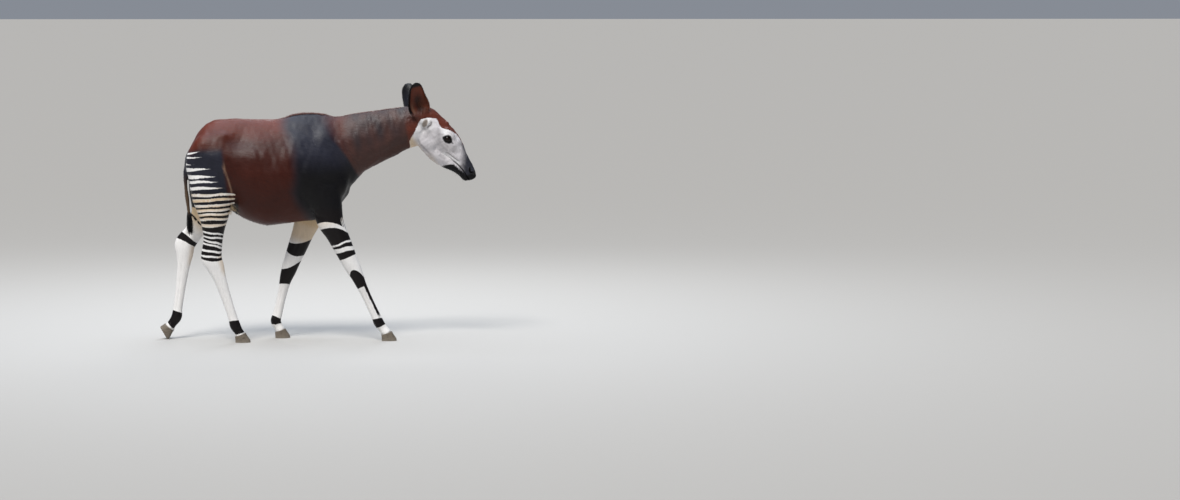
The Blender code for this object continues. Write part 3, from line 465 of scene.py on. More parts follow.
def ear_body(bm, side):
    """The ear: solid at its root, a thin cup above."""
    up, across, out = ear_axes(side)
    base = ear_base(side)
    run = through([(t, 0.0, 0.0, *sizes) for t, *sizes in EAR], EAR_SPACING)
    rings = []
    for t, _, _, half, bulge, floor, shift in run:
        centre = base + up * (t * EAR_LENGTH) + across * shift
        inner = half - EAR_WALL * min(1.0, max(0.0, floor / 0.01))
        ring = []
        for k in range(EAR_SIDES + 1):
            angle = math.pi * (k / EAR_SIDES - 0.5)
            ring.append(centre + across * half * math.sin(angle) - out * bulge * math.cos(angle))
        for k in range(1, EAR_SIDES):
            angle = math.pi * (0.5 - k / EAR_SIDES)
            ring.append(centre + across * inner * math.sin(angle) - out * floor * math.cos(angle))
        rings.append(ring)
    skin_rings(bm, rings)


def tail_body(bm):
    rows = [(x, 0.0, z, r, r, r, 0.0, 0.0) for x, z, r in TAIL]
    loft(bm, rows, 0.004, 0.006, upright=False, spacing=0.02, sides=16)


# Meshes as arrays.

def mesh_object(name, bm):
    mesh = bpy.data.meshes.new(name)
    bm.to_mesh(mesh)
    bm.free()
    return link(name, mesh)


def link(name, data):
    obj = bpy.data.objects.new(name, data)
    bpy.context.scene.collection.objects.link(obj)
    return obj


def bake_modifiers(obj):
    """Replaces an object's mesh by what its modifiers make of it."""
    depsgraph = bpy.context.evaluated_depsgraph_get()
    mesh = bpy.data.meshes.new_from_object(obj.evaluated_get(depsgraph))
    obj.modifiers.clear()
    old = obj.data
    obj.data = mesh
    bpy.data.meshes.remove(old)


def fuse(obj, voxel):
    remesh = obj.modifiers.new("fuse", "REMESH")
    remesh.mode = "VOXEL"
    remesh.voxel_size = voxel
    bake_modifiers(obj)


def numbers_of(items, word, per=3, kind=float):
    """One value or row of values of each of a mesh's points, edges, corners or faces."""
    found = np.empty(len(items) * per, kind)
    items.foreach_get(word, found)
    return found if per == 1 else found.reshape(-1, per)


def places_of(mesh):
    return numbers_of(mesh.vertices, "co")


def put_places(mesh, co):
    mesh.vertices.foreach_set("co", co.ravel())
    mesh.update()


def relax(mesh, rounds, weight, swell=0.0):
    """Rounds of smoothing, each followed by a little swelling so that thin parts stay full."""
    co = places_of(mesh)
    count = len(co)
    one, two = numbers_of(mesh.edges, "vertices", 2, int).T
    moved = weight > 0
    keep = moved[one] | moved[two]
    one, two = one[keep], two[keep]
    degree = np.maximum(np.bincount(one, minlength=count) + np.bincount(two, minlength=count), 1)
    amount = weight[:, None]
    steps = (0.5, -swell) if swell else (0.5,)
    for _ in range(rounds):
        for step in steps:
            around = np.stack([
                np.bincount(one, co[two, i], count) + np.bincount(two, co[one, i], count)
                for i in range(3)], axis=1) / degree[:, None]
            co = co + step * amount * (around - co)
    put_places(mesh, co)


def thin_out(obj, chosen, share):
    """Leaves about this share of the faces round the chosen points."""
    mesh = obj.data
    corners = numbers_of(mesh.loops, "vertex_index", 1, int)
    starts = numbers_of(mesh.polygons, "loop_start", 1, int)
    counts = np.diff(np.append(starts, len(corners)))
    share_inside = (np.add.reduceat(chosen[corners].astype(float), starts) / counts).mean()
    group = obj.vertex_groups.new(name="thin")
    group.add(np.flatnonzero(chosen).tolist(), 1.0, "REPLACE")
    thin = obj.modifiers.new("thin", "DECIMATE")
    thin.ratio = 1 - share_inside * (1 - share)
    thin.vertex_group = "thin"
    thin.use_collapse_triangulate = True
    bake_modifiers(obj)
    obj.vertex_groups.clear()


def ramp(values, low, high):
    t = np.clip((values - low) / (high - low), 0.0, 1.0)
    return t * t * (3 - 2 * t)


def band(values, low, full, fade, high):
    """1 between full and fade, 0 outside low and high."""
    return ramp(values, low, full) * (1 - ramp(values, fade, high))


def bell(gap, width):
    """1 at no gap, and fading over the width on both sides."""
    return np.exp(-(gap / width) ** 2)


def spot(first, second, middle, sizes):
    """A soft oval spot in a plane: 1 at its middle."""
    return np.exp(-((first - middle[0]) / sizes[0]) ** 2 - ((second - middle[1]) / sizes[1]) ** 2)


def stroke(points, line, width, start, end):
    """A soft stroke along a line of flat points, faded up to start and from end."""
    gap, t = line_reach(points, line)
    return bell(gap, width) * ramp(t, 0.0, start) * (1 - ramp(t, end, 1.0))


def leg_share(places):
    """0 on the trunk and 1 on the legs, for the lie of the hair."""
    return 1 - ramp(places[:, 2], 0.60, 0.78)


def head_share(places):
    """0 on the neck and 1 on the head."""
    return ramp(places @ np.array(HEAD_LINE_WAY), HEAD_LINE - HEAD_LINE_SOFT, HEAD_LINE + HEAD_LINE_SOFT)


def waves(points, size, count, seed):
    """Smooth, seeded unevenness from about -1 to 1, with bumps about this size apart."""
    draw = np.random.default_rng(seed)
    total = np.zeros(len(points))
    for _ in range(count):
        way = draw.normal(size=points.shape[1])
        way *= math.tau / size * draw.uniform(0.6, 1.4) / np.linalg.norm(way)
        total += np.sin(points @ way + draw.uniform(0.0, math.tau))
    return total / math.sqrt(count)


def line_reach(points, line):
    """Distance to a line of flat points, and how far along it."""
    line = np.array(line, float)
    best = np.full(len(points), np.inf)
    along = np.zeros(len(points))
    run = 0.0
    lengths = np.linalg.norm(np.diff(line, axis=0), axis=1)
    for a, b, length in zip(line, line[1:], lengths):
        way = (b - a) / length
        away = points - a
        t = np.clip(away @ way, 0.0, length)
        gap = np.linalg.norm(away - t[:, None] * way, axis=1)
        near = gap < best
        best = np.where(near, gap, best)
        along = np.where(near, run + t, along)
        run += length
    return best, along / run


class Body:
    """Every point of the skin, and where it lies on the animal."""

    def __init__(self, mesh):
        self.co = places_of(mesh)
        self.normal = numbers_of(mesh.vertex_normals, "vector")
        away = self.co - np.array(POLL)
        self.along = away @ np.array(HEAD_ALONG)
        self.above = away @ np.array(HEAD_ABOVE)
        self.side = np.sign(self.co[:, 1])
        self.aside = np.abs(self.co[:, 1])
        self.flat = self.co[:, (0, 2)]
        self.facing = np.abs(self.normal[:, 1])
        self.head = head_share(self.co)
        self.ear = self.find_ears()
        self.on_face = self.head * (1 - self.ear)
        self.tail = self.find_tail()

    def find_ears(self):
        """1 on an ear's cup and 0 on the head. It keeps each point's height up the ear, its
        place across it and whether it faces out of the cup."""
        self.ear_up = np.full(len(self.co), -1.0)
        self.ear_across = np.zeros(len(self.co))
        self.ear_inside = np.zeros(len(self.co))
        table = np.array(EAR)
        for side in SIDES:
            up, across, out = (np.array(w) for w in ear_axes(side))
            away = self.co - np.array(ear_base(side))
            t = away @ up / EAR_LENGTH
            c = away @ across
            o = away @ out
            half = np.interp(t, table[:, 0], table[:, 1])
            bulge = np.interp(t, table[:, 0], table[:, 2])
            near = (self.side == side) & (t > 0.0) & (t < 1.05) & (np.abs(c) < half + EAR_REACH)
            near &= (o < 0.008) & (o > -bulge - EAR_REACH)
            self.ear_up = np.where(near, t, self.ear_up)
            self.ear_across = np.where(near, c / np.maximum(half, 0.004), self.ear_across)
            self.ear_inside = np.where(near, ramp(self.normal @ out, -0.1, 0.3), self.ear_inside)
        return ramp(self.ear_up, 0.10, 0.24)

    def find_tail(self):
        x, z = self.flat.T
        rows = np.array(TAIL)[::-1]
        middle = np.interp(z, rows[:, 1], rows[:, 0])
        near = (self.aside < 0.022) & (np.abs(x - middle) < 0.024) & (z < 0.93)
        return np.where(near, ramp(-z, -0.93, -0.88), 0.0)


def move_in(obj, shift):
    obj.data.transform(Matrix.Translation(shift))


def skin_weights(mesh):
    """How hard each part of the skin is smoothed: trunk, head, legs."""
    body = Body(mesh)
    z = body.co[:, 2]
    upper = ramp(z, 0.58, 0.74)
    trunk = upper * (1 - body.head) * (1 - body.tail)
    face = body.head * (1 - ramp(body.ear_up, 0.0, 0.10))
    legs = (1 - upper) * (1 - body.tail)
    return trunk, face, legs


# Small forms of the skin.

# Grooves and ridges of the trunk and neck, seen from the side: height, half width, then points.
FOLDS = (
    (-0.0040, 0.010, (0.070, 1.085), (0.080, 1.045), (0.107, 0.993), (0.145, 0.935), (0.174, 0.888)),
    (0.0030, 0.010, (0.098, 1.060), (0.128, 0.995), (0.164, 0.940), (0.190, 0.900)),
    (-0.0022, 0.007, (0.120, 1.060), (0.146, 0.998), (0.180, 0.946), (0.206, 0.908)),
    (0.0018, 0.009, (0.142, 1.055), (0.166, 0.998), (0.198, 0.950), (0.222, 0.916)),
    (-0.0014, 0.008, (0.168, 1.050), (0.190, 0.996), (0.218, 0.952)),
    (-0.0040, 0.016, (0.470, 1.040), (0.380, 1.000), (0.290, 0.960), (0.220, 0.925)),
    (0.0030, 0.020, (0.480, 1.085), (0.380, 1.050), (0.290, 1.010), (0.210, 0.970)),
    (-0.0050, 0.018, (-0.070, 0.985), (-0.100, 0.880), (-0.095, 0.780), (-0.050, 0.690)),
    (-0.0030, 0.012, (-0.045, 0.668), (0.000, 0.652), (0.040, 0.650)),
    (-0.0035, 0.008, (-0.476, 0.965), (-0.450, 0.905), (-0.434, 0.855)),
    (-0.0030, 0.007, (-0.487, 0.945), (-0.467, 0.880), (-0.452, 0.830)),
    (0.0030, 0.009, (-0.470, 0.905), (-0.455, 0.860), (-0.446, 0.800)),
    (-0.0040, 0.020, (-0.635, 1.000), (-0.625, 0.880), (-0.600, 0.760), (-0.585, 0.660)),
    (-0.0030, 0.018, (-0.540, 0.960), (-0.545, 0.860), (-0.540, 0.780)),
)
# Hollows and swells of the side: middle (x, z), half sizes, height.
HOLLOWS = (
    ((-0.425, 1.055), (0.060, 0.050), -0.0100),
    ((-0.350, 0.985), (0.060, 0.070), 0.0050),
    ((-0.580, 1.060), (0.070, 0.050), 0.0040),
    ((0.020, 1.110), (0.040, 0.060), 0.0030),
    ((-0.010, 0.900), (0.050, 0.060), -0.0040),
)


def sculpt_trunk(body):
    """Skin folds, ribs, the flank's hollow and the unevenness of hide over muscle."""
    lift = np.zeros(len(body.co))
    sides = ramp(body.facing, 0.15, 0.55) * (1 - body.head)
    for height, width, *line in FOLDS:
        lift += height * stroke(body.flat, line, width, 0.15, 0.8) * sides
    x, z = body.flat.T
    for middle, sizes, depth in HOLLOWS:
        lift += depth * spot(x, z, middle, sizes) * sides
    chest = band(x, -0.40, -0.32, -0.12, -0.05) * band(z, 0.68, 0.78, 0.95, 1.08)
    lift += 0.0011 * np.sin(math.tau * (x + 0.28 * (z - 0.85)) / 0.052) * chest * sides
    trunk = ramp(z, 0.60, 0.72) * (1 - body.head)
    lift += 0.0012 * waves(body.co, 0.11, 12, 1) * trunk
    lift += 0.0005 * waves(body.co * (1.0, 1.0, 0.45), 0.035, 16, 2) * trunk
    neck = ramp(x, 0.14, 0.24) * trunk
    lift += 0.0007 * waves(body.co * (1.0, 0.6, 0.28), 0.022, 16, 3) * neck
    return lift


# Bones and tendons of the legs: height, then (middle, size) to the front and up the leg.
# Those of every leg come after those of its kind.
LEG_BUMPS = {
    "hind": ((0.0020, (0.10, 0.4), (0.405, 0.030)),),
    "fore": ((0.0016, (0.15, 0.5), (0.345, 0.028)), (-0.0020, (-0.55, 0.2), (0.335, 0.040))),
    "each": ((0.0014, (-0.15, 0.6), (0.058, 0.018)), (-0.0016, (0.20, 0.6), (0.028, 0.010))),
}
# The groove before the tendon above hock and knee: depth, (middle, width) to the front, heights.
LEG_GROOVES = {
    "hind": (0.0060, (-0.38, 0.22), (0.43, 0.50, 0.56, 0.66)),
    "fore": (0.0030, (-0.10, 0.16), (0.40, 0.46, 0.56, 0.64)),
}
LEG_KNEES = {"hind": 0.42, "fore": 0.33}


def sculpt_legs(body):
    """Tendons and bones of the legs, on the outer and inner faces."""
    lift = np.zeros(len(body.co))
    for name in LEGS:
        chart = LegChart(name, body)
        kind = name.split("_")[0]
        s, r = chart.height, chart.front
        on = chart.on * ramp(body.facing, 0.35, 0.8)
        for height, (ahead, wide), (up, high) in LEG_BUMPS[kind] + LEG_BUMPS["each"]:
            lift += height * spot(r, s, (ahead, up), (wide, high)) * on
        depth, (ahead, wide), heights = LEG_GROOVES[kind]
        lift -= depth * bell(r - ahead, wide) * band(s, *heights) * on
        knee = LEG_KNEES[kind]
        lift -= 0.0019 * bell(r + 0.22, 0.17) * band(s, 0.075, 0.11, knee - 0.10, knee - 0.04) * on
    return lift


# Mouth and nostril, (along, above) in the head's axes.
MOUTH = ((0.236, -0.0800), (0.250, -0.0740), (0.284, -0.0600), (0.330, -0.0460),
         (0.364, -0.0405), (0.392, -0.0400), (0.425, -0.0400))
NOSTRIL = ((0.378, -0.0035), (0.386, -0.0100), (0.394, -0.0130), (0.4015, -0.0115), (0.404, -0.0060))
# Small forms of the face: height, half width, then (along, above) points.
FACE_LINES = (
    (-0.0015, 0.005, (0.214, -0.034), (0.230, -0.046), (0.243, -0.056)),
    (0.0013, 0.006, (0.196, -0.060), (0.230, -0.052), (0.270, -0.040), (0.310, -0.028)),
    (-0.0022, 0.010, (0.178, -0.072), (0.196, -0.096), (0.212, -0.130)),
    (0.0009, 0.0022, (0.150, -0.066), (0.185, -0.078), (0.222, -0.070), (0.262, -0.050)),
    (0.0008, 0.0020, (0.222, -0.070), (0.236, -0.090), (0.262, -0.104)),
    (-0.0020, 0.007, (0.150, -0.022), (0.162, -0.040), (0.180, -0.049)),
    (-0.0012, 0.0035, (0.152, -0.004), (0.172, 0.009), (0.194, 0.009), (0.212, -0.004)),
    (-0.0040, 0.005, (0.052, -0.042), (0.066, -0.048), (0.074, -0.064), (0.070, -0.082)),
)


def sculpt_face(body):
    """Lips, nostrils, veins, lid folds and the lobe under the ear."""
    flat = np.column_stack((body.along, body.above))
    sides = ramp(body.facing, 0.10, 0.45) * body.on_face
    lift = np.zeros(len(body.co))
    for height, width, *line in FACE_LINES:
        lift += height * stroke(flat, line, width, 0.2, 0.8) * sides
    gap, _ = line_reach(flat, MOUTH)
    lift -= 0.0030 * bell(gap, 0.0019) * ramp(body.along, 0.232, 0.246) * body.on_face
    lift += 0.0020 * bell(gap - 0.0055, 0.0040) * ramp(body.along, 0.25, 0.30) * body.on_face
    gap, t = line_reach(flat, NOSTRIL)
    wide = 0.0016 + 0.0030 * ramp(t, 0.2, 1.0)
    inside = np.exp(-(gap / wide) ** 4) * sides * ramp(body.aside, 0.008, 0.014)
    lift -= 0.0075 * inside
    lift += 0.0016 * bell(gap - wide - 0.0030, 0.0026) * sides
    lobe = ((body.along - 0.053) / 0.020) ** 2 + ((body.above + 0.069) / 0.017) ** 2
    lift += 0.0045 * np.exp(-lobe**2) * sides
    lift += 0.0004 * waves(body.co, 0.016, 14, 5) * body.on_face
    lift += 0.0006 * waves(body.co, 0.045, 10, 6) * body.on_face
    return lift


def eye_places(points, side):
    """Places round an eye: along its long axis, across it, and outward."""
    away = points - np.array(eye_centre(side))
    local = away @ EYE_TURN
    return local[:, 0], local[:, 2], away[:, 1] * side


def eye_point(side, along, high, radius):
    """The place on a sphere of this radius round an eye, along its long axis and across it."""
    out = math.sqrt(max(radius**2 - along * along - high * high, 0.0))
    turned = EYE_TURN @ np.array((along, 0.0, high))
    return np.array(eye_centre(side)) + turned + np.array((0.0, side * out, 0.0))


def lid_height(fraction, upper):
    """Height of a lid's edge over the eye's long axis at a fraction from back to front."""
    bow = np.clip(1 - fraction**2, 0.0, 1.0) ** 0.65
    return EYE_OPEN_HIGH / 2 * bow * (1.0 if upper else -0.92)


def open_lids(body, co):
    """Sinks the skin inside the lids' opening behind the eyeball and rounds the lids."""
    for side in SIDES:
        long_way, high, out = eye_places(co, side)
        near = (np.hypot(long_way, high) < 0.034) & (out > 0.0)
        f = long_way / (EYE_OPEN_LONG / 2)
        edge = np.where(high > 0, lid_height(f, True), -lid_height(f, False))
        past = np.abs(high) - edge
        past = np.where(np.abs(f) > 1, np.hypot(long_way - np.sign(f) * EYE_OPEN_LONG / 2, high), past)
        centre = np.array(eye_centre(side))
        away = co - centre
        radius = np.linalg.norm(away, axis=1)
        lid = EYE_RADIUS + 0.0028
        sunk = np.where(past < LID_LIP, EYE_RADIUS - 0.004, lid)
        pull = near * (1 - ramp(past, 0.0005, 0.0085))
        pull = np.where(past < LID_LIP, near, pull)
        new = centre + away / radius[:, None] * (sunk * pull + radius * (1 - pull))[:, None]
        co = np.where(near[:, None], new, co)
    return co


class LegChart:
    """Straightens a leg: height above the coronet along it, and how far from its axis to the
    front, in parts of its half depth."""

    HEIGHTS = {"fore": (0.812, 0.652, 0.327, 0.050, 0.0), "hind": (0.920, 0.700, 0.420, 0.050, 0.0)}

    def __init__(self, name, body):
        kind = name.split("_")[0]
        side = side_of(name)
        heights = self.HEIGHTS[kind]
        axis = np.array([[p.x, p.z] for p in leg_axis(name)])
        total = np.zeros(len(body.flat))
        height = np.zeros(len(body.flat))
        ahead = np.zeros(len(body.flat))
        for i in range(4):
            a, b = axis[i], axis[i + 1]
            length = np.linalg.norm(b - a)
            way = (b - a) / length
            away = body.flat - a
            run = away @ way
            held = np.clip(run, 0.0, length)
            gap = np.linalg.norm(away - held[:, None] * way, axis=1)
            pull = 1 / (gap + 0.012) ** 6
            total += pull
            height += pull * (heights[i] - run / length * (heights[i] - heights[i + 1]))
            ahead += pull * (away @ np.array((-way[1], way[0])))
        self.height = height / total
        self.ahead = ahead / total
        table = leg_table(name)
        at = [heights[b] + (heights[b + 1] - heights[b]) * f for b, f, *_ in table][::-1]
        front = np.interp(self.height, at, [row[2] for row in table][::-1])
        back = np.interp(self.height, at, [row[3] for row in table][::-1])
        self.front = self.ahead / np.where(self.ahead > 0, front, back)
        reach = 0.045 + 0.10 * ramp(self.height, 0.35, 0.65)
        near = 1 - ramp(np.abs(self.ahead), reach, reach + 0.05)
        top = ramp(body.flat[:, 1], 0.52, 0.70)
        self.on = near * (body.side == side) * (1 - top)
        self.same_side = body.side == side


def make_skin():
    bm = bmesh.new()
    shape_trunk(bm)
    shape_head(bm)
    for side in SIDES:
        ear_body(bm, side)
    tail_body(bm)
    skin = mesh_object("skin", bm)
    fuse(skin, SKIN_VOXEL)
    trunk, face, legs = skin_weights(skin.data)
    relax(skin.data, 150, trunk)
    relax(skin.data, 16, np.maximum(face, legs))
    relax(skin.data, 3, np.ones(len(trunk)), swell=0.5)
    for _ in range(2):
        settle_ears(skin.data)
        relax(skin.data, 2, ramp(Body(skin.data).ear_up, 0.16, 0.24))
    refine_face(skin)
    body = Body(skin.data)
    lift = sculpt_trunk(body) + sculpt_legs(body) + sculpt_face(body) - COAT_DEPTH * (1 - body.ear)
    lift -= TRUNK_COAT_DEPTH * ramp(body.co[:, 2], 0.62, 0.72) * (1 - body.head)
    co = open_lids(body, body.co + body.normal * lift[:, None])
    put_places(skin.data, co)
    thin_coat(skin, 1, TRUNK_SHARE)
    thin_coat(skin, -1, LEG_SHARE)
    skin.data.shade_smooth()
    return skin


def thin_coat(skin, way, share):
    """Thins the skin over the trunk's floor, or under it where way is -1. The head and the
    tail stay fine."""
    body = Body(skin.data)
    chosen = way * (body.co[:, 2] - TRUNK_FLOOR) > 0
    thin_out(skin, chosen & (body.head < 0.05) & (body.tail < 0.05), share)


def settle_ears(mesh):
    """Lays the ears' voxels back on the true cups."""
    body = Body(mesh)
    co = body.co
    for side in SIDES:
        bm = bmesh.new()
        ear_body(bm, side)
        tree = BVHTree.FromBMesh(bm)
        bm.free()
        for i in np.flatnonzero((body.ear_up > 0.16) & (body.side == side)):
            place, _, _, gap = tree.find_nearest(co[i])
            if gap < 0.004:
                co[i] = place
    put_places(mesh, co)


def eye_gap(body):
    return np.hypot(body.along - EYE_ALONG, body.above - EYE_ABOVE)


def fine_part(skin):
    """The points round the eyes, lips and nostrils."""
    body = Body(skin.data)
    return (body.on_face > 0.5) & ((eye_gap(body) < 0.042) | (body.along > 0.225))


def refine_face(skin):
    """Splits the faces of the fine part once."""
    fine = fine_part(skin)
    bm = bmesh.new()
    bm.from_mesh(skin.data)
    bm.verts.ensure_lookup_table()
    edges = [e for e in bm.edges if fine[e.verts[0].index] and fine[e.verts[1].index]]
    bmesh.ops.subdivide_edges(bm, edges=edges, cuts=1, use_grid_fill=True)
    bm.to_mesh(skin.data)
    bm.free()
    relax(skin.data, 4, fine_part(skin) * 1.0, swell=0.5)


# Markings. Stripes are given along a leg: their height over the coronet at the back, the
# middle and the front, and their thickness there. A thickness below 0 ends a stripe.

HIND_STRIPES = (
    (0.992, 0.994, 0.994, 0.012, -0.004, -0.040),
    (0.974, 0.962, 0.950, 0.010, -0.001, -0.040),
    (0.936, 0.915, 0.900, 0.006, -0.030, -0.060),
    (0.909, 0.896, 0.870, 0.022, 0.008, -0.030),
    (0.870, 0.851, 0.835, 0.024, 0.010, -0.030),
    (0.842, 0.826, 0.805, 0.011, 0.008, -0.022),
    (0.806, 0.794, 0.768, 0.020, 0.011, -0.010),
    (0.766, 0.756, 0.744, 0.015, 0.015, 0.012),
    (0.732, 0.731, 0.722, 0.022, 0.016, 0.008),
    (0.702, 0.698, 0.699, 0.014, 0.014, 0.012),
    (0.676, 0.674, 0.676, 0.017, 0.015, 0.010),
    (0.651, 0.652, 0.654, 0.013, 0.012, 0.011),
    (0.629, 0.628, 0.629, 0.014, 0.013, 0.011),
    (0.600, 0.592, 0.605, 0.019, 0.018, 0.015),
    (0.565, 0.552, 0.543, 0.008, 0.009, 0.009),
    (0.540, 0.531, 0.527, 0.008, 0.010, 0.010),
    (0.519, 0.507, 0.494, 0.010, 0.011, 0.011),
    (0.500, 0.491, 0.477, 0.008, 0.010, 0.011),
    (0.470, 0.458, 0.455, 0.010, 0.012, 0.012),
    (0.446, 0.430, 0.430, 0.008, 0.010, 0.010),
)
HOCK_LINE = (0.432, 0.408, 0.408)  # all white below it
HIND_INNER_BANDS = ((0.462, 0.456, 0.446, 0.040, 0.034, 0.030), (0.605, 0.580, 0.560, 0.014, 0.010, -0.020))
HIND_INNER_TOP = 0.66
HIND_FETLOCK = ((0.050, 0.046, 0.040, 0.070, 0.074, 0.070),)
FORE_STRIPES = (
    (0.636, 0.620, 0.556, 0.030, 0.030, 0.020),
    (0.517, 0.514, 0.506, 0.011, 0.010, 0.011),
    (0.487, 0.480, 0.468, 0.026, 0.024, 0.020),
)
FORE_WHITE_LINE = (0.437, 0.434, 0.433)
FORE_KNEE = ((0.298, 0.312, 0.276, 0.072, 0.100, 0.036),)
FORE_INNER_BANDS = ((0.480, 0.482, 0.515, 0.046, 0.070, 0.092), (0.319, 0.336, 0.365, 0.084, 0.096, 0.150))
FORE_INNER_TOP = 0.642  # its height over the floor
FORE_FETLOCK = ((0.060, 0.057, 0.050, 0.044, 0.042, 0.034),)
FRONT_LINE = (0.088, 0.275)  # the black line down the front of a fore cannon

# The white face in the head's axes: its upper edge and its edge to the neck, (along, above).
FACE_TOP = ((-0.020, -0.100), (0.020, -0.085), (0.036, -0.043), (0.063, -0.011), (0.083, -0.012),
            (0.110, -0.017), (0.130, -0.005), (0.148, 0.013), (0.175, 0.027), (0.192, 0.033),
            (0.215, 0.035), (0.240, 0.034), (0.300, 0.035), (0.430, 0.030))
FACE_BACK = ((-0.230, 0.130), (-0.208, 0.1175), (-0.191, 0.084), (-0.1585, 0.068), (-0.115, 0.042),
             (-0.083, 0.021), (-0.040, 0.010))  # (above, along)
CHIN_TOP = ((0.272, -0.130), (0.296, -0.100), (0.314, -0.0655), (0.350, -0.0545),
            (0.392, -0.0440), (0.430, -0.030))

# The black shoulder's edges and the thigh's front edge: (height, x), and how soft the edge
# to the neck is at some heights.
SHOULDER_REAR = ((0.62, -0.030), (0.70, -0.085), (0.78, -0.118), (0.98, -0.130),
                 (1.06, -0.155), (1.16, -0.180))
SHOULDER_CREASE = ((0.70, 0.30), (0.888, 0.186), (0.935, 0.155), (0.993, 0.115), (1.050, 0.085),
                   (1.137, 0.066), (1.20, 0.060))
CREASE_SOFT = ((0.95, 0.010), (1.02, 0.018), (1.08, 0.045), (1.16, 0.085))
THIGH_FRONT = ((0.70, -0.462), (0.80, -0.478), (0.90, -0.490), (1.00, -0.500))
BRIDGE_LINE = ((0.20, 0.022), (0.26, 0.020), (0.315, 0.008), (0.365, -0.002))  # (along, above)
MOUTH_STRIP = ((0.2376, -0.0770), (0.2666, -0.0624), (0.3014, -0.0463), (0.3279, -0.0385))
# A line of painted shadow along the crease by the lobe under the ear, (x, z).
LOBE_SHADOW_LINE = ((0.588, 1.155), (0.5857, 1.1476), (0.582, 1.1295), (0.566, 1.115), (0.558, 1.110))
# Painted shading of the face: grey lines and patches where its creases and hollows fall in shade, the
# cheek–lip groove and the line along the jaw among them. How dark, half width, then (along, above) points.
PAINTED_FACE_SHADING = (
    (0.80, 0.0018, (0.236, -0.069), (0.248, -0.056), (0.272, -0.049), (0.298, -0.039), (0.326, -0.029)),
    (0.40, 0.0048, (0.095, -0.150), (0.140, -0.152), (0.190, -0.142), (0.222, -0.128)),
    (0.32, 0.0140, (0.135, -0.030), (0.150, -0.052), (0.180, -0.062), (0.205, -0.066)),
    (0.30, 0.0110, (0.108, -0.026), (0.125, -0.038), (0.140, -0.055)),
    (0.30, 0.0140, (0.232, -0.004), (0.252, -0.020), (0.262, -0.040)),
    (0.34, 0.0085, (0.226, -0.100), (0.246, -0.094), (0.272, -0.086)),
    (0.25, 0.0140, (0.090, -0.070), (0.105, -0.090), (0.112, -0.120)),
)

# Colours of the coat.
CHESTNUT = (0.038, 0.0070, 0.0036)
BACK_RED = (0.110, 0.0215, 0.0105)
BELLY_RED = (0.050, 0.0095, 0.0047)
# Bluish charcoal. Where it lies over black on the shoulder and thigh, its lighter, bluer tone is partly
# painted sky sheen on the dark coat.
CHARCOAL = (0.0160, 0.0165, 0.0260)
BLACK = (0.0032, 0.0028, 0.0034)
STRIPE_BLACK = (0.0050, 0.0034, 0.0036)
NECK_BROWN = (0.060, 0.0270, 0.0220)
THROAT_BROWN = (0.045, 0.0190, 0.0130)
FOREHEAD = (0.098, 0.0230, 0.0130)
EAR_CUP = (0.120, 0.0270, 0.0130)
# Painted shadow: the dark deep in each ear's cup and along the crease by the lobe under the ear.
DEEP_SHADOW = (0.014, 0.0045, 0.0030)
EAR_HAIR = (0.150, 0.0600, 0.0330)
# Light pinkish brown of the crest's hair: a painted rim highlight along the topline.
CREST_RIM_LIGHT = (0.165, 0.0840, 0.0740)
MUZZLE = (0.022, 0.0225, 0.0300)
TAIL_GREY = (0.085, 0.0560, 0.0350)
NECK_GREY = (0.026, 0.0210, 0.0240)
THIGH_TAN = (0.200, 0.1150, 0.0750)
# A painted highlight: a thin tan line along the thigh's front edge by the flank's fold, (x, z).
THIGH_EDGE_HIGHLIGHT = ((-0.494, 0.960), (-0.487, 0.900), (-0.470, 0.850), (-0.456, 0.800), (-0.452, 0.755))
LEG_WHITE = (0.760, 0.7450, 0.7300)
CREAM = (0.600, 0.4500, 0.2850)
FACE_GREY = (0.580, 0.5550, 0.5700)
FACE_WHITE = (0.800, 0.7900, 0.7900)
LOBE_TAN = (0.200, 0.1550, 0.1150)
# The grey of the painted shading and shadows on the face, and of the line at the eyes' front corners.
GREY_SHADE = (0.090, 0.0820, 0.0880)
FACE_SHADOW = (0.300, 0.2700, 0.2600)

STRIPE_OFFSET = 0.05  # stripe half thicknesses are kept this much larger, so that 0 means none
OUTSIDE = -0.05  # how deep in the pale coat a point lies that is nowhere near it
STRIPE_STEP = 0.03  # spacing over the first stripe and under the last
FRONT_LIMIT = 1.35  # the curves of stripes stop bending past this


def curve_through(front, back, middle, ahead):
    """A value at the front fraction ahead, given at -1, 0 and 1."""
    front = np.clip(front, -FRONT_LIMIT, FRONT_LIMIT)
    bend = (ahead + back) / 2 - middle
    return middle + (ahead - back) / 2 * front + bend * front**2


def band_field(height, front, rows):
    """How deep inside one of the bands each point lies, and less than 0 outside them."""
    best = np.full(len(height), OUTSIDE)
    for back, middle, ahead, thick_back, thick, thick_ahead in rows:
        centre = curve_through(front, back, middle, ahead)
        half = curve_through(front, thick_back, thick, thick_ahead) / 2
        best = np.maximum(best, half - np.abs(height - centre))
    return best


